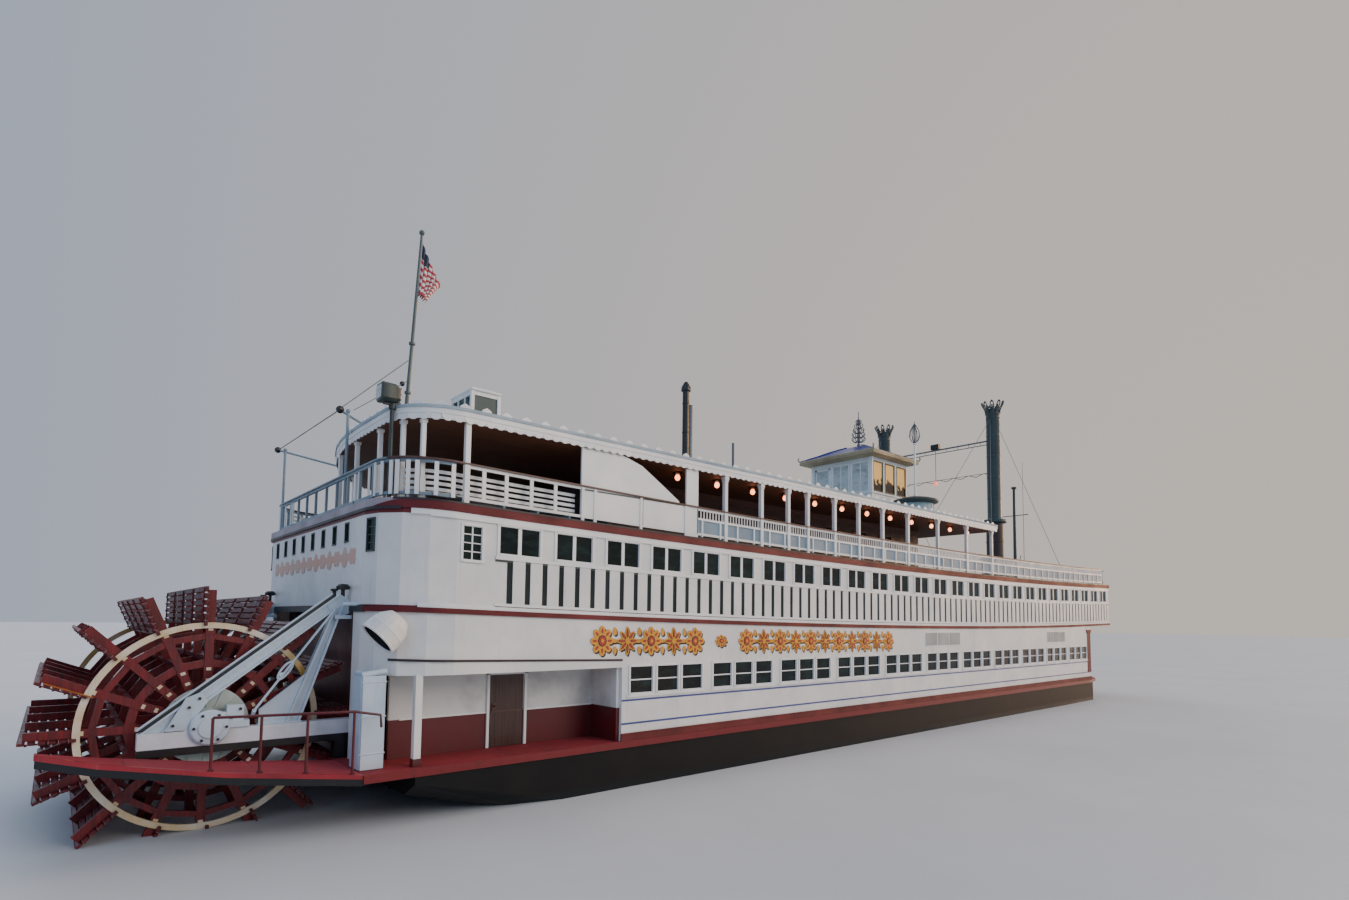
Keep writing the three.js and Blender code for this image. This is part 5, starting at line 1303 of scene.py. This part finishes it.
def chimney(side):
    x, y = CHIMNEY_X, side * CHIMNEY_Y
    shape = Shape()
    shape.mark = 1
    shape.lathe([(0.52, STACK_LOW), (0.52, 13.28)], (x, y, 0), 36)
    shape.lathe(STACK_FLANGE, (x, y, 0), 36)
    for z in (10.7, 12.0):
        shape.lathe([(0.52, z), (0.54, z + 0.01), (0.54, z + 0.09), (0.52, z + 0.1)], (x, y, 0), 36)
    shape.mark = 0
    shape.lathe(STACK_COLLAR, (x, y, 0), 36)
    shape.lathe(STACK_UPPER, (x, y, 0), 36)
    for z in (14.9, 16.3, 17.7, 19.1, 20.3):
        shape.lathe([(0.424, z), (0.44, z + 0.01), (0.44, z + 0.08), (0.424, z + 0.09)], (x, y, 0), 36)
    shape.mark = 2
    for k in range(9):
        a = math.tau * k / 9
        for sway in (-0.17, 0.17):
            curl = [(r, a + sway * w, z) for r, z, w in CROWN_LEAF]
            shape.path([(x + r * math.cos(t), y + r * math.sin(t), z) for r, t, z in curl], 0.035, 6)
        c, s = math.cos(a), math.sin(a)
        shape.path([(x + r * c, y + r * s, z) for r, z in CROWN_TIP], 0.032, 6)
        shape.path([(x + r * c, y + r * s, z) for r, z in CROWN_ROOT], 0.045, 6)
    shape.join(hoop(round_bar(0.5, 0.035), (x, y, 20.95), sides=36))
    return shape


for side_name, side in SIDES:
    piece(f"chimney_stack_{side_name}", chimney(side), stack_green, stack_foot, stack_crown,
          replaces=(f"chimney_{side_name}",))

# Spreaders and stays between and round the chimneys
spread = Shape()
spread.tube((CHIMNEY_X, -3.66, 18.86), (CHIMNEY_X, 3.66, 18.86), 0.055, 8)
spread.tube((CHIMNEY_X, -3.66, 18.62), (CHIMNEY_X, 3.66, 18.62), 0.03, 6)
for k in range(9):
    y = -3.2 + 0.8 * k
    spread.tube((CHIMNEY_X, y, 18.62), (CHIMNEY_X, y, 18.86), 0.018, 6)
wave = [(CHIMNEY_X, -3.65 + 7.3 * k / 28, 16.62 + 0.09 * math.sin(k * math.pi / 2)) for k in range(29)]
spread.path(wave, 0.022, 6)
spread.tube((CHIMNEY_X, -3.65, 16.7), (CHIMNEY_X, 3.65, 16.7), 0.018, 6)
spread.tube((CHIMNEY_X, 0, 16.7), (CHIMNEY_X, 0, 18.9), 0.02, 6)
piece("chimney_spreaders", spread, grey_iron)
piece("chimney_signal_box", Shape().box(39.9, 40.24, -0.3, 0.3, 18.92, 19.28), black_iron, bevel=0.03)
piece("chimney_signal_lamp", Shape().ball((CHIMNEY_X, 0, 16.5), 0.16, 14), lamp_red)
stays = Shape()
for side in (-1, 1):
    for x, y, z in ((34.6, 6.3, 12.3), (45.5, 6.5, 9.6), (45.5, 2.2, 9.6), (33.9, 2.6, 12.45)):
        top = (CHIMNEY_X + 0.42 * (1 if x > 40 else -1), side * CHIMNEY_Y, 20.2)
        stays.tube(top, (x, side * y, z), 0.016, 5)
piece("chimney_stays", stays, grey_iron)

# Exhaust and steam pipes
pipes = Shape()
EXHAUST_AT = (14.38, -2, 0)
EXHAUST = [(0.22, ROOF_FOOT), (0.22, 12.52), (0.15, 12.56), (0.15, 16.75), (0.22, 16.8), (0.22, 16.95),
           (0.08, 17.2), (0.02, 17.2)]
pipes.lathe(EXHAUST, EXHAUST_AT, 20)
for z in (13.6, 14.9, 16.2):
    pipes.lathe([(0.15, z), (0.165, z + 0.01), (0.165, z + 0.06), (0.15, z + 0.07)], EXHAUST_AT, 20)
pipes.mark = 1
STEAM_PIPE = [(0.17, ROOF_FOOT), (0.17, 12.5), (0.12, 12.54), (0.12, 16.16), (0.13, 16.2), (0.02, 16.2)]
pipes.lathe(STEAM_PIPE, (14.63, -2, 0), 16)
piece("steam_pipe_pair", pipes, black_iron, grey_iron, replaces=("steam_pipe",))
vent = Shape().lathe([(0.09, 12.45), (0.06, 12.5), (0.06, 15.0), (0.02, 15.02)], (17.4, -2, 0), 10)
piece("roof_vent_pipe", vent, grey_iron)

# Glazed box on the roof: posts, dark green panes, hip roof
BOX_X, BOX_Y = (3.84, 4.8), (-3.2, -1.7)
cabinet = Shape()
for x in BOX_X:
    for y in BOX_Y:
        in_x = (x - 0.05, x + 0.07) if x < 4 else (x - 0.07, x + 0.05)
        in_y = (y - 0.05, y + 0.07) if y < -2 else (y - 0.07, y + 0.05)
        cabinet.box(*in_x, *in_y, ROOF_FOOT, 14.14)
for y in (-2.7, -2.2):
    cabinet.box(3.8, 3.86, y - 0.025, y + 0.025, 12.9, 14.1)
    cabinet.box(4.78, 4.84, y - 0.025, y + 0.025, 12.9, 14.1)
for z0, z1 in ((ROOF_FOOT, 12.95), (14.0, 14.14)):
    cabinet.box(3.81, 4.83, -3.23, -1.67, z0, z1)
SQUARE = ((-1, -1), (1, -1), (1, 1), (-1, 1))
CABINET_ROOF = ((1.08, 14.13), (1.12, 14.16), (1.12, 14.21), (0.75, 14.33), (0.1, 14.5))
cabinet.layers([[(4.32 + 0.48 * k * u, -2.45 + 0.75 * k * v, z) for u, v in SQUARE] for k, z in CABINET_ROOF])
cabinet.mark = 1
cabinet.box(3.85, 4.79, -3.19, -1.71, 12.95, 14.0)
piece("roof_cabinet", cabinet, white_trim, glass_green, replaces=("roof_box",), bevel=0.008)

# Flagpole, its collars and ball, and the limp striped flag
POLE_LOW, POLE_HIGH = Vector((2.8, 0, 12.4546)), Vector((3.21, 0, 20.6))


def on_pole(z):
    share = (z - POLE_LOW.z) / (POLE_HIGH.z - POLE_LOW.z)
    return POLE_LOW + (POLE_HIGH - POLE_LOW) * share


pole = Shape().tube(POLE_LOW, on_pole(20.5), 0.075, 14, 0.045)
pole.ball(on_pole(20.57), 0.1, 14)
for z in (12.5, 14.6, 16.4):
    pole.lathe([(0.075, -0.05), (0.11, -0.04), (0.11, 0.04), (0.075, 0.05)], on_pole(z), 14)
piece("flagpole_spar", pole, pole_green, replaces=("flagpole",))


def flag_cloth():
    """The hoist on the pole, the fly hanging almost straight down from it in deep folds."""
    rows, columns = 60, 150
    points, faces = [], []
    hoist_top, hoist_low = on_pole(20.22), on_pole(18.3)
    fly_top, fly_low = Vector((3.98, 0, 18.82)), Vector((3.42, 0, 18.08))
    for i in range(rows + 1):
        t = i / rows
        near = hoist_top.lerp(hoist_low, t) + Vector((0.06, 0, 0))
        far = fly_top.lerp(fly_low, t ** 0.8)
        for j in range(columns + 1):
            s = j / columns
            base = near.lerp(far, s)
            base.x += 0.09 * math.sin(math.pi * s) * (1 - t) * t * 2
            base.z -= 0.1 * math.sin(math.pi * s) * (1 - t)
            depth = 0.15 * min(1.0, s * 5) * (0.35 + 0.65 * t ** 0.5)
            turn = 2 * math.pi * 5.2 * s ** 0.9 + 1.1 * math.sin(2.2 * t + 1.0)
            fold = math.sin(turn) + 0.22 * math.sin(2.3 * turn + 2.0 * t)
            lean = 0.05 * min(1.0, s * 5) * math.cos(turn) * (0.4 + 0.6 * t)
            points.append((base.x + lean, depth * fold * 0.82, base.z + 0.25 * lean))
    for i in range(rows):
        for j in range(columns):
            a = i * (columns + 1) + j
            faces.append((a, a + 1, a + columns + 2, a + columns + 1))
    mesh = bpy.data.meshes.new("flag_cloth")
    mesh.from_pydata(points, [], faces)
    layer = mesh.uv_layers.new(name="UVMap")
    for loop in mesh.loops:
        i, j = divmod(loop.vertex_index, columns + 1)
        layer.data[loop.index].uv = (j / columns, 1 - i / rows)
    obj = bpy.data.objects.new("flag_cloth", mesh)
    bpy.context.scene.collection.objects.link(obj)
    return dress(obj, [bunting], "boat", ("flag",), 180, 0)


flag = flag_cloth()

# Floodlight on its post, the two light poles at the stern with their arms and wires
flood = Shape()
flood.tube((0.4, -5.8, DECK3 + 0.45), (0.4, -5.8, 12.3), 0.055, 10)
flood.tube((0.4, -5.8, 12.2), (0.4, -5.8, 12.34), 0.09, 10)
flood.box(0.18, 0.55, -5.86, -5.74, 12.3, 12.37)
box_part = Shape()
OCTAGON = ((-1, -0.7), (-0.7, -1), (0.7, -1), (1, -0.7), (1, 0.7), (0.7, 1), (-0.7, 1), (-1, 0.7))
box_part.layers([[(0.05 + 0.09 * k, -5.8 + w * u, 12.6 + w * 0.95 * v) for u, v in OCTAGON]
                 for k, w in ((0, 0.24), (0.4, 0.26), (4.2, 0.25), (5.6, 0.18))])
for z in (12.45, 12.6, 12.75):
    box_part.box(0.54, 0.58, -5.96, -5.64, z - 0.015, z + 0.015)
piece("stern_floodlight", flood.join(box_part), sash_dark_and_cap_shadow, bevel=0.0)
piece("stern_floodlight_glass", Shape().box(0.035, 0.05, -5.98, -5.62, 12.43, 12.77), glass_painted_sky_reflection)
aft_poles = Shape()
for y, top, end in ((5.2, 12.95, (2.1, 4.1, 12.42)), (-2.5, 12.78, (1.35, -2.1, 12.38))):
    aft_poles.tube((0.25, y, DECK3 + 0.45), (0.25, y, top), 0.045, 8)
    aft_poles.tube((0.12, y + (0.35 if y > 0 else 0.2), top + 0.08), end, 0.04, 8)
    aft_poles.ball((0.25, y, top + 0.06), 0.07, 8)
piece("stern_light_poles", aft_poles, rail_grey)
knobs = Shape().ball((0.08, 5.6, 13.05), 0.12, 10).ball((0.08, -2.28, 12.9), 0.12, 10)
piece("stern_light_heads", knobs, black_iron)
wires = Shape()
wires.tube((0.1, 5.5, 13.05), (0.1, -2.3, 12.92), 0.018, 5)
wires.tube((0.1, -2.3, 12.95), (2.88, 0, 15.75), 0.018, 5)
wires.tube((0.4, -2.5, 12.9), (2.86, -0.05, 15.0), 0.014, 5)
piece("stern_stays", wires, grey_iron)
piece("stern_stay_insulator", Shape().ball((2.6, -0.3, 14.78), 0.09, 10), black_iron)

# Bow mast, two whips and a short yard
MAST_X = 52.9
MAST = [(0.2, 9.66), (0.2, 9.75), (0.14, 9.8), (0.1, 17.78), (0.2, 17.85), (0.21, 17.98), (0.05, 18.0)]
mast = Shape().lathe(MAST, (MAST_X, 0, 0), 16)
mast.tube((MAST_X, -1.1, 15.6), (MAST_X, 1.1, 15.6), 0.035, 8)
mast.tube((MAST_X, 0, 9.9), (54.0, 0, 12.4), 0.03, 6)
piece("bow_mast_spar", mast, sash_dark_and_cap_shadow, replaces=("bow_mast",))
whips = Shape()
for x, y, top in ((51.2, -1.4, 19.6), (51.2, 1.4, 18.8), (34.0, 1.6, 16.5)):
    whips.tube((x, y, 9.6 if x > 40 else 12.4), (x, y, top), 0.025, 6, 0.012)
piece("whip_aerials", whips, grey_iron)

# Beams, struts and rods that carry the wheel
gear = Shape()
STRUT_FOOT = Vector((-4.45, 0, 3.95))
direction = Vector((4.15, 0, 3.35)).normalized()
lift = Vector((-direction.z, 0, direction.x))


def along_strut(low, high, up0, up1):
    """Corners in x and z of a strip that follows the strut."""
    outline = []
    for reach, up in ((low, up0), (high, up0), (high, up1), (low, up1)):
        point = STRUT_FOOT + direction * reach + lift * up
        outline.append((point.x, point.z))
    return outline


gear.prism(along_strut(0.05, 5.2, 0.0, 0.06), -4.37, -4.23)
gear.mark = 1
p0, p1 = along_strut(0.0, 5.25, 0.09, 0.1)[0:2]
gear.tube((p0[0], -4.3, p0[1]), (p1[0], -4.3, p1[1]), 0.03, 8)
gear.tube((-0.43, -4.46, 6.86), (-2.2, -4.46, 4.33), 0.03, 8)
gear.tube((-0.43, -4.46, 6.86), (-0.43, -4.3, 6.86), 0.05, 8)
gear.tube((-2.2, -4.46, 4.33), (-2.2, -4.3, 4.2), 0.05, 8)
rod = Vector((-1.77, 0, -2.53)).normalized()
cross = Vector((-rod.z, 0, rod.x))
middle = Vector((-1.55, -4.46, 5.29))
oval_turns = [math.tau * k / 16 for k in range(17)]
oval = [middle + rod * (0.26 * math.cos(t)) + cross * (0.09 * math.sin(t)) for t in oval_turns]
gear.path(oval, 0.03, 6)
gear.prism([(-4.0, 3.97), (-3.62, 3.97), (-3.18, 4.62), (-3.3, 4.86), (-3.62, 4.72)], -4.47, -4.41)
BEARING_CAP = [(0.42, -4.44), (0.42, -4.52), (0.38, -4.56), (0.26, -4.57), (0.24, -4.61), (0.17, -4.61)]
gear.lathe(BEARING_CAP, WHEEL_AT, 32, "y")
gear.box(-2.9, -2.3, -4.5, -4.1, 3.96, 4.12)
gear.box(-2.78, -2.42, -4.46, -4.14, 4.12, 4.5)
gear.box(-0.42, 0.0, -4.47, -4.13, 6.62, 6.72)
gear.tube((-0.3, -4.75, 7.02), (0.28, -5.3, 7.02), 0.05, 8)
gear.mark = 0
VENT_CAP = [(0.05, 7.2), (0.05, 7.4), (0.17, 7.42), (0.18, 7.5), (0.12, 7.56), (0.02, 7.57)]
gear.lathe(VENT_CAP, (-0.2, -4.3, 0), 16)
gear.lathe([(0.05, 7.2), (0.05, 7.36), (0.1, 7.38), (0.1, 7.42), (0.02, 7.44)], (-0.42, -4.3, 0), 12)
for k in range(6):
    a = math.tau * k / 6
    x, z = WHEEL_AT[0] + 0.33 * math.cos(a), WHEEL_AT[2] + 0.33 * math.sin(a)
    gear.tube((x, -4.54, z), (x, -4.6, z), 0.035, 6)
for x, z in ((-3.85, 4.1), (-3.55, 4.5), (-3.35, 4.7), (-2.68, 4.2), (-2.5, 4.4)):
    gear.tube((x, -4.46, z), (x, -4.52, z), 0.035, 6)
piece("wheel_strut_fittings", gear.both_sides(), black_iron, strut_white_painted_cool_shade)

# The struts themselves: a channel up from the beam's end, a leg of two angles, and a gusset plate at its foot
def strut():
    shape = Shape()
    shape.prism(along_strut(0.0, 5.3, -0.25, -0.02), -4.33, -4.27)
    shape.prism(along_strut(0.0, 5.33, -0.05, 0.0), -4.41, -4.19)
    shape.prism(along_strut(0.32, 5.1, -0.28, -0.23), -4.41, -4.19)
    shape.prism([(-0.16, 7.03), (-0.45, 6.68), (-1.47, 3.96), (-1.15, 3.96)], -4.32, -4.28)
    for (x0, z0), (x1, z1) in (((-0.16, 7.05), (-1.15, 3.96)), ((-0.4, 6.8), (-1.42, 3.96))):
        shape.prism([(x0, z0), (x1, z1), (x1 - 0.06, z1), (x0 - 0.06, z0)], -4.41, -4.19)
    shape.prism([(-1.0, 5.2), (-2.07, 4.31), (-2.08, 3.96), (-1.44, 3.96)], -4.335, -4.315)
    shape.prism([(-1.0, 5.22), (-2.08, 4.33), (-2.08, 4.28), (-1.0, 5.16)], -4.37, -4.25)
    shape.box(-2.1, -1.1, -4.4, -4.2, 3.952, 3.99)
    for k in range(9):
        x, z = -1.2 - 0.1 * k, 4.06
        shape.tube((x, -4.335, z), (x, -4.35, z), 0.022, 6)
    for k in range(22):
        a = STRUT_FOOT + direction * (0.4 + 0.21 * k) - lift * 0.14
        shape.tube((a.x, -4.33, a.z), (a.x, -4.342, a.z), 0.018, 6)
    shape.prism([(-0.02, 6.78), (-0.02, 7.12), (-0.3, 7.3), (-0.62, 7.0), (-0.4, 6.6)], -4.36, -4.33)
    return shape


for side_name, side in SIDES:
    one = strut() if side < 0 else strut().moved(Matrix.Scale(-1, 4, (0, 1, 0)))
    piece(f"wheel_strut_{side_name}", one, strut_white_painted_cool_shade, replaces=(f"beam_brace_{side_name}",), bevel=0.006)

# Rails of the fantail guards, and their faded red edge
guard_rail, guard_edge = Shape(), Shape()
GUARD_ROWS = ((-0.3508, 7.0, 2.92), (-3.0, 6.3, 3.2), (-5.2, 5.6, 3.55), (-6.2, 5.0, 3.75))


def guard_at(x):
    for (x0, y0, z0), (x1, y1, z1) in zip(GUARD_ROWS, GUARD_ROWS[1:]):
        if x >= x1:
            t = (x - x0) / (x1 - x0)
            return y0 + (y1 - y0) * t, z0 + (z1 - z0) * t
    return GUARD_ROWS[-1][1:]


POST_X = (-3.3, -2.4, -1.5, -0.55)
for x in POST_X:
    y, z = guard_at(x)
    guard_rail.tube((x, -y + 0.12, z), (x, -y + 0.12, 4.42), 0.032, 8)
    guard_rail.lathe([(0.07, 0), (0.07, 0.03), (0.04, 0.06)], (x, -y + 0.12, z), 10)
top_line = [(x, -guard_at(x)[0] + 0.12, 4.42) for x in POST_X] + [(0.05, -6.85, 4.3), (0.08, -6.85, 4.0)]
guard_rail.path(top_line, 0.032, 8)
piece("guard_rails", guard_rail.both_sides(), rail_red)
rings = []
for x, y, z in GUARD_ROWS:
    out, into, under, over = -y - 0.012, -y + 0.1, z - 0.09, z + 0.012
    rings.append([(x, out, under), (x, out, over), (x, into, over), (x, into, under)])
guard_edge.layers(rings)
guard_edge.box(-6.215, -6.18, -5.01, -4.62, 3.66, 3.762)
piece("guard_edges", guard_edge.both_sides(), guard_red)

# Ventilator cowls at the quarters: rolled rim, a throat painted black as painted shade, bolted base
cowl = Shape()
aim = Vector((-0.72, 0, -0.69)).normalized()
mouth = Vector((0.0, -6.55, 6.14))
cowl.join(hoop(round_bar(0.47, 0.035), axis="z", sides=40).turned(mouth - aim * 0.01, aim))
cowl.join(hoop(round_bar(0.494, 0.012, 6), axis="z", sides=40).turned(mouth - aim * 0.27, aim))
throat = Shape()
# The throat is black: painted shade inside the cowl
throat.mark = 1
CUP = [(0.02, -0.672), (0.195, -0.622), (0.372, -0.445), (0.434, -0.25), (0.434, -0.02), (0.424, -0.02),
       (0.424, -0.25), (0.362, -0.435), (0.19, -0.605), (0.02, -0.66)]
throat.lathe(CUP, (0, 0, 0), 36)
cowl.join(throat.turned(mouth, aim))
piece("cowl_rims", cowl.both_sides(), white_trim, ornament_black_and_painted_shade)
# Ducts under the cowls, in the struts' white with its painted cool shade
duct = Shape()
duct.box(-0.3, -0.01, -6.42, -5.75, 2.93, 5.2)
duct.box(-0.28, 0.28, -6.5, -6.38, 2.93, 5.22)
duct.tube((-0.3, -6.42, 5.25), (0.3, -6.46, 5.34), 0.075, 12)
duct.tube((-0.16, -5.72, 5.24), (-0.16, -6.42, 5.24), 0.09, 12)
for z in (3.3, 4.2, 5.05):
    duct.box(-0.31, 0.3, -6.515, -6.49, z, z + 0.04)
piece("stern_ducts", duct.both_sides(), strut_white_painted_cool_shade, bevel=0.015)
piece("recess_post_feet", Shape().box(0.89, 1.11, -6.83, -6.61, 2.925, 3.12).both_sides(), rail_red)

# Doors, pipes and racks inside the after recess
recess = Shape()
for x0, x1 in ((3.5, 3.58), (4.72, 4.8)):
    recess.box(x0, x1, -5.56, -5.5, 2.93, 5.1)
recess.box(3.5, 4.8, -5.56, -5.5, 5.03, 5.13)
for x0, x1 in ((1.0, 3.5), (4.8, 7.25)):
    recess.box(x0, x1, -5.53, -5.5, 3.93, 3.98)
piece("recess_trim", recess.both_sides(), white_trim)
for side_name, side in SIDES:
    near, far = sorted((side * 5.503, side * 5.53))
    fittings = Shape().box(3.66, 4.62, near, far, 3.93, 3.98)
    fittings.box(3.68, 3.8, near, far, 4.0, 4.2)
    fittings.tube((3.74, side * 5.52, 4.12), (3.74, side * 5.575, 4.12), 0.02, 8)
    fittings.ball((3.74, side * 5.585, 4.12), 0.032, 8)
    piece(f"engine_door_fittings_{side_name}", fittings, rail_brown, body=f"engine_room_door_{side_name}")

# Wheel: planks with pale edges on every bucket, part wear and part painted highlight, clamps, plates, rings
# and ribbed hub discs
BUCKETS, BUCKET_HALF, PLANKS = 16, 4.05, 6
BUCKET_SIDE, BUCKET_BACK = 0.0918, 0.1618
OUTER_Y, INNER_Y = 3.79, 1.895
WHEEL_TURN = (math.pi / 2, 0, 0)
bucket, worn = Shape(), Shape()
for k in range(PLANKS):
    r0 = 2.42 + 1.01 * k / PLANKS
    for j in range(4):
        y0 = -BUCKET_HALF + BUCKET_HALF / 2 * j
        front = BUCKET_SIDE + 0.005 * ((k + j) % 3)
        bucket.box(r0, r0 + 0.128, front, BUCKET_BACK, y0 + 0.006, y0 + 2.019)
    worn.box(r0 + 0.121, r0 + 0.131, BUCKET_SIDE - 0.001, BUCKET_BACK + 0.002, -BUCKET_HALF, BUCKET_HALF)
    worn.box(r0, r0 + 0.128, BUCKET_SIDE + 0.004, BUCKET_BACK - 0.004, -BUCKET_HALF - 0.006, -BUCKET_HALF)
ring("wheel_planks", bucket, BUCKETS, WHEEL_AT, WHEEL_TURN, wheel_wood, "paddle_wheel", bevel=0.01,
     replaces=("wheel_buckets",))
ring("wheel_plank_edges", worn, BUCKETS, WHEEL_AT, WHEEL_TURN, plank_edge_wear_and_highlight, "paddle_wheel")
clamp = Shape()
for y in (-3.78, -1.89, 0.0, 1.89, 3.78):
    clamp.box(2.46, 3.36, BUCKET_BACK, BUCKET_BACK + 0.025, y - 0.05, y + 0.05)
    for r in (2.55, 2.8, 3.02, 3.25):
        clamp.box(r - 0.02, r + 0.02, BUCKET_BACK + 0.02, BUCKET_BACK + 0.05, y - 0.03, y + 0.03)
ring("wheel_clamps", clamp, BUCKETS, WHEEL_AT, WHEEL_TURN, arm_wood, "paddle_wheel")
blocks = Shape()
blocks.box(1.55, 1.67, -0.07, 0.07, -3.7, 3.7)
for y in (-OUTER_Y, OUTER_Y):
    for r in (0.98, 1.3, 2.2):
        blocks.box(r, r + 0.14, -0.1, 0.1, y - 0.08, y + 0.08)
ring("wheel_stringers", blocks, BUCKETS, WHEEL_AT, WHEEL_TURN, arm_wood, "paddle_wheel")
girdles = Shape()
for y in (-OUTER_Y, -INNER_Y, 0.0, INNER_Y, OUTER_Y):
    for r0, r1 in ((1.42, 1.6), (2.1, 2.24)):
        section = [(r0, y - 0.05), (r1, y - 0.05), (r1, y + 0.05), (r0, y + 0.05)]
        girdles.join(hoop(section, WHEEL_AT, "y", 16))
piece("wheel_girdles", girdles, arm_wood, body="paddle_wheel")
plates = Shape()
for y, s in ((-OUTER_Y, -1), (OUTER_Y, 1)):
    for r in (1.05, 1.32, 2.3):
        plates.box(r, r + 0.07, -0.05, 0.05, *sorted((y + s * 0.08, y + s * 0.1)))
ring("wheel_arm_plates", plates, BUCKETS, WHEEL_AT, WHEEL_TURN, ring_cream, "paddle_wheel")
rims = Shape()
for y in (-3.9, 3.9):
    rims.join(hoop([(2.36, y - 0.04), (2.5, y - 0.04), (2.5, y + 0.04), (2.36, y + 0.04)], WHEEL_AT, "y", 96))
piece("wheel_rims", rims, ring_cream, body="paddle_wheel", smooth=40)
discs = Shape()
for y, s in ((-OUTER_Y, -1), (OUTER_Y, 1)):
    profile = ((0.17, 0.07), (0.92, 0.07), (0.92, 0.1), (0.8, 0.11), (0.42, 0.12), (0.36, 0.2), (0.2, 0.21))
    discs.lathe([(r, y + s * out) for r, out in profile], WHEEL_AT, 48, "y")
    for k in range(BUCKETS):
        a = math.tau * k / BUCKETS
        c, t = math.cos(a), math.sin(a)
        rib = [(0.4, -0.02), (0.9, -0.02), (0.9, 0.02), (0.4, 0.02)]
        outline = [(WHEEL_AT[0] + r * c - w * t, WHEEL_AT[2] + r * t + w * c) for r, w in rib]
        discs.prism(outline, *sorted((y + s * 0.1, y + s * 0.15)))
piece("wheel_hub_discs", discs, hub_pale, body="paddle_wheel")
inner_discs = Shape()
for y in (-INNER_Y, 0.0, INNER_Y):
    for s in (-1, 1):
        profile = ((0.17, 0.07), (0.88, 0.07), (0.88, 0.1), (0.4, 0.12), (0.2, 0.2))
        inner_discs.lathe([(r, y + s * out) for r, out in profile], WHEEL_AT, 40, "y")
piece("wheel_inner_discs", inner_discs, arm_wood, body="paddle_wheel")
# A patch of painted low sunlight on one bucket's near end
patch = Shape()
for r0, r1, y0, y1 in ((2.32, 2.74, 3.1, 4.07), (2.6, 2.95, 2.6, 4.05), (2.93, 3.24, 3.0, 4.07)):
    patch.box(r0, r1, BUCKET_SIDE - 0.008, BUCKET_SIDE + 0.01, y0, y1)
on_wheel = Matrix.Translation(WHEEL_AT) @ Matrix.Rotation(math.pi / 2, 4, "X")
to_bucket = Matrix.Rotation(math.radians(157.5), 4, "Z")
piece("wheel_rust_patch", patch.moved(on_wheel @ to_bucket), sunlight_orange_painted, body="paddle_wheel")

# Camera, where the photograph was taken from
YAW, PITCH, ROLL = math.radians(41.40), math.radians(3.753), math.radians(0.685)
ahead = Vector((math.sin(YAW) * math.cos(PITCH), math.cos(YAW) * math.cos(PITCH), math.sin(PITCH)))
sideways = Vector((math.cos(YAW), -math.sin(YAW), 0))
rise = sideways.cross(ahead)
right = sideways * math.cos(ROLL) + rise * math.sin(ROLL)
upward = right.cross(ahead)
lens = bpy.data.cameras.new("photo_camera")
lens.sensor_width, lens.lens, lens.shift_y = 36.0, 18.71, 0.0918
lens.clip_end = 500
eye = bpy.data.objects.new("photo_camera", lens)
EYE_AT = (-15.0355, -12.273, 3.35)
eye.matrix_world = Matrix.Translation(EYE_AT) @ Matrix((right, upward, -ahead)).transposed().to_4x4()
bpy.context.scene.collection.objects.link(eye)
bpy.context.scene.camera = eye

# Floor at the waterline, and soft studio light
floor_mesh = bpy.data.meshes.new("studio_floor")
REACH = 240.0
corners = [(-REACH, -REACH), (REACH, -REACH), (REACH, REACH), (-REACH, REACH)]
floor_mesh.from_pydata([(x, y, WATERLINE) for x, y in corners], [], [(0, 1, 2, 3)])
floor = bpy.data.objects.new("studio_floor", floor_mesh)
bpy.context.scene.collection.objects.link(floor)
floor_paint, floor_tree, floor_shader, floor_place = start("studio_floor_paint", "#D6DADC", 0.55)
floor_patches = ramp(floor_tree, noise(floor_tree, floor_place, 0.3), 0.3, 0.7)
use(floor_tree, floor_shader, mixed(floor_tree, floor_patches, "#D6DADC", "#CCD1D4"))
floor_mesh.materials.append(floor_paint)


def sun_light(name, at, angle, strength, hex_code):
    """Broad even light from far off, in the direction of a point seen from the middle of the boat."""
    data = bpy.data.lights.new(name, "SUN")
    data.angle, data.energy, data.color = angle, strength, linear(hex_code)[:3]
    obj = bpy.data.objects.new(name, data)
    obj.rotation_euler = (-Vector(at)).to_track_quat("-Z", "Y").to_euler()
    bpy.context.scene.collection.objects.link(obj)


sun_light("key_light", (18.0, -34.0, 19.0), 0.6, 1.25, "#FFF1E2")
sun_light("bow_light", (40.0, -9.0, 9.0), 0.35, 1.3, "#FFC48A")
sun_light("stern_light", (-30.0, -16.0, 22.0), 0.7, 0.45, "#BFD6FF")
sun_light("port_light", (0.0, 34.0, 24.0), 0.7, 0.5, "#E6EEFF")
world = bpy.data.worlds.new("studio_air")
world.use_nodes = True
air = world.node_tree
heading = add(air, "ShaderNodeTexCoord").outputs["Generated"]
toward = add(air, "ShaderNodeSeparateXYZ", {0: heading}).outputs["X"]
backdrop = mixed(air, ramp(air, toward, -0.6, 1.0), "#9FB6D6", "#E3D8CE")
air.links.new(backdrop, air.nodes["Background"].inputs["Color"])
air.nodes["Background"].inputs["Strength"].default_value = 0.85
bpy.context.scene.world = world
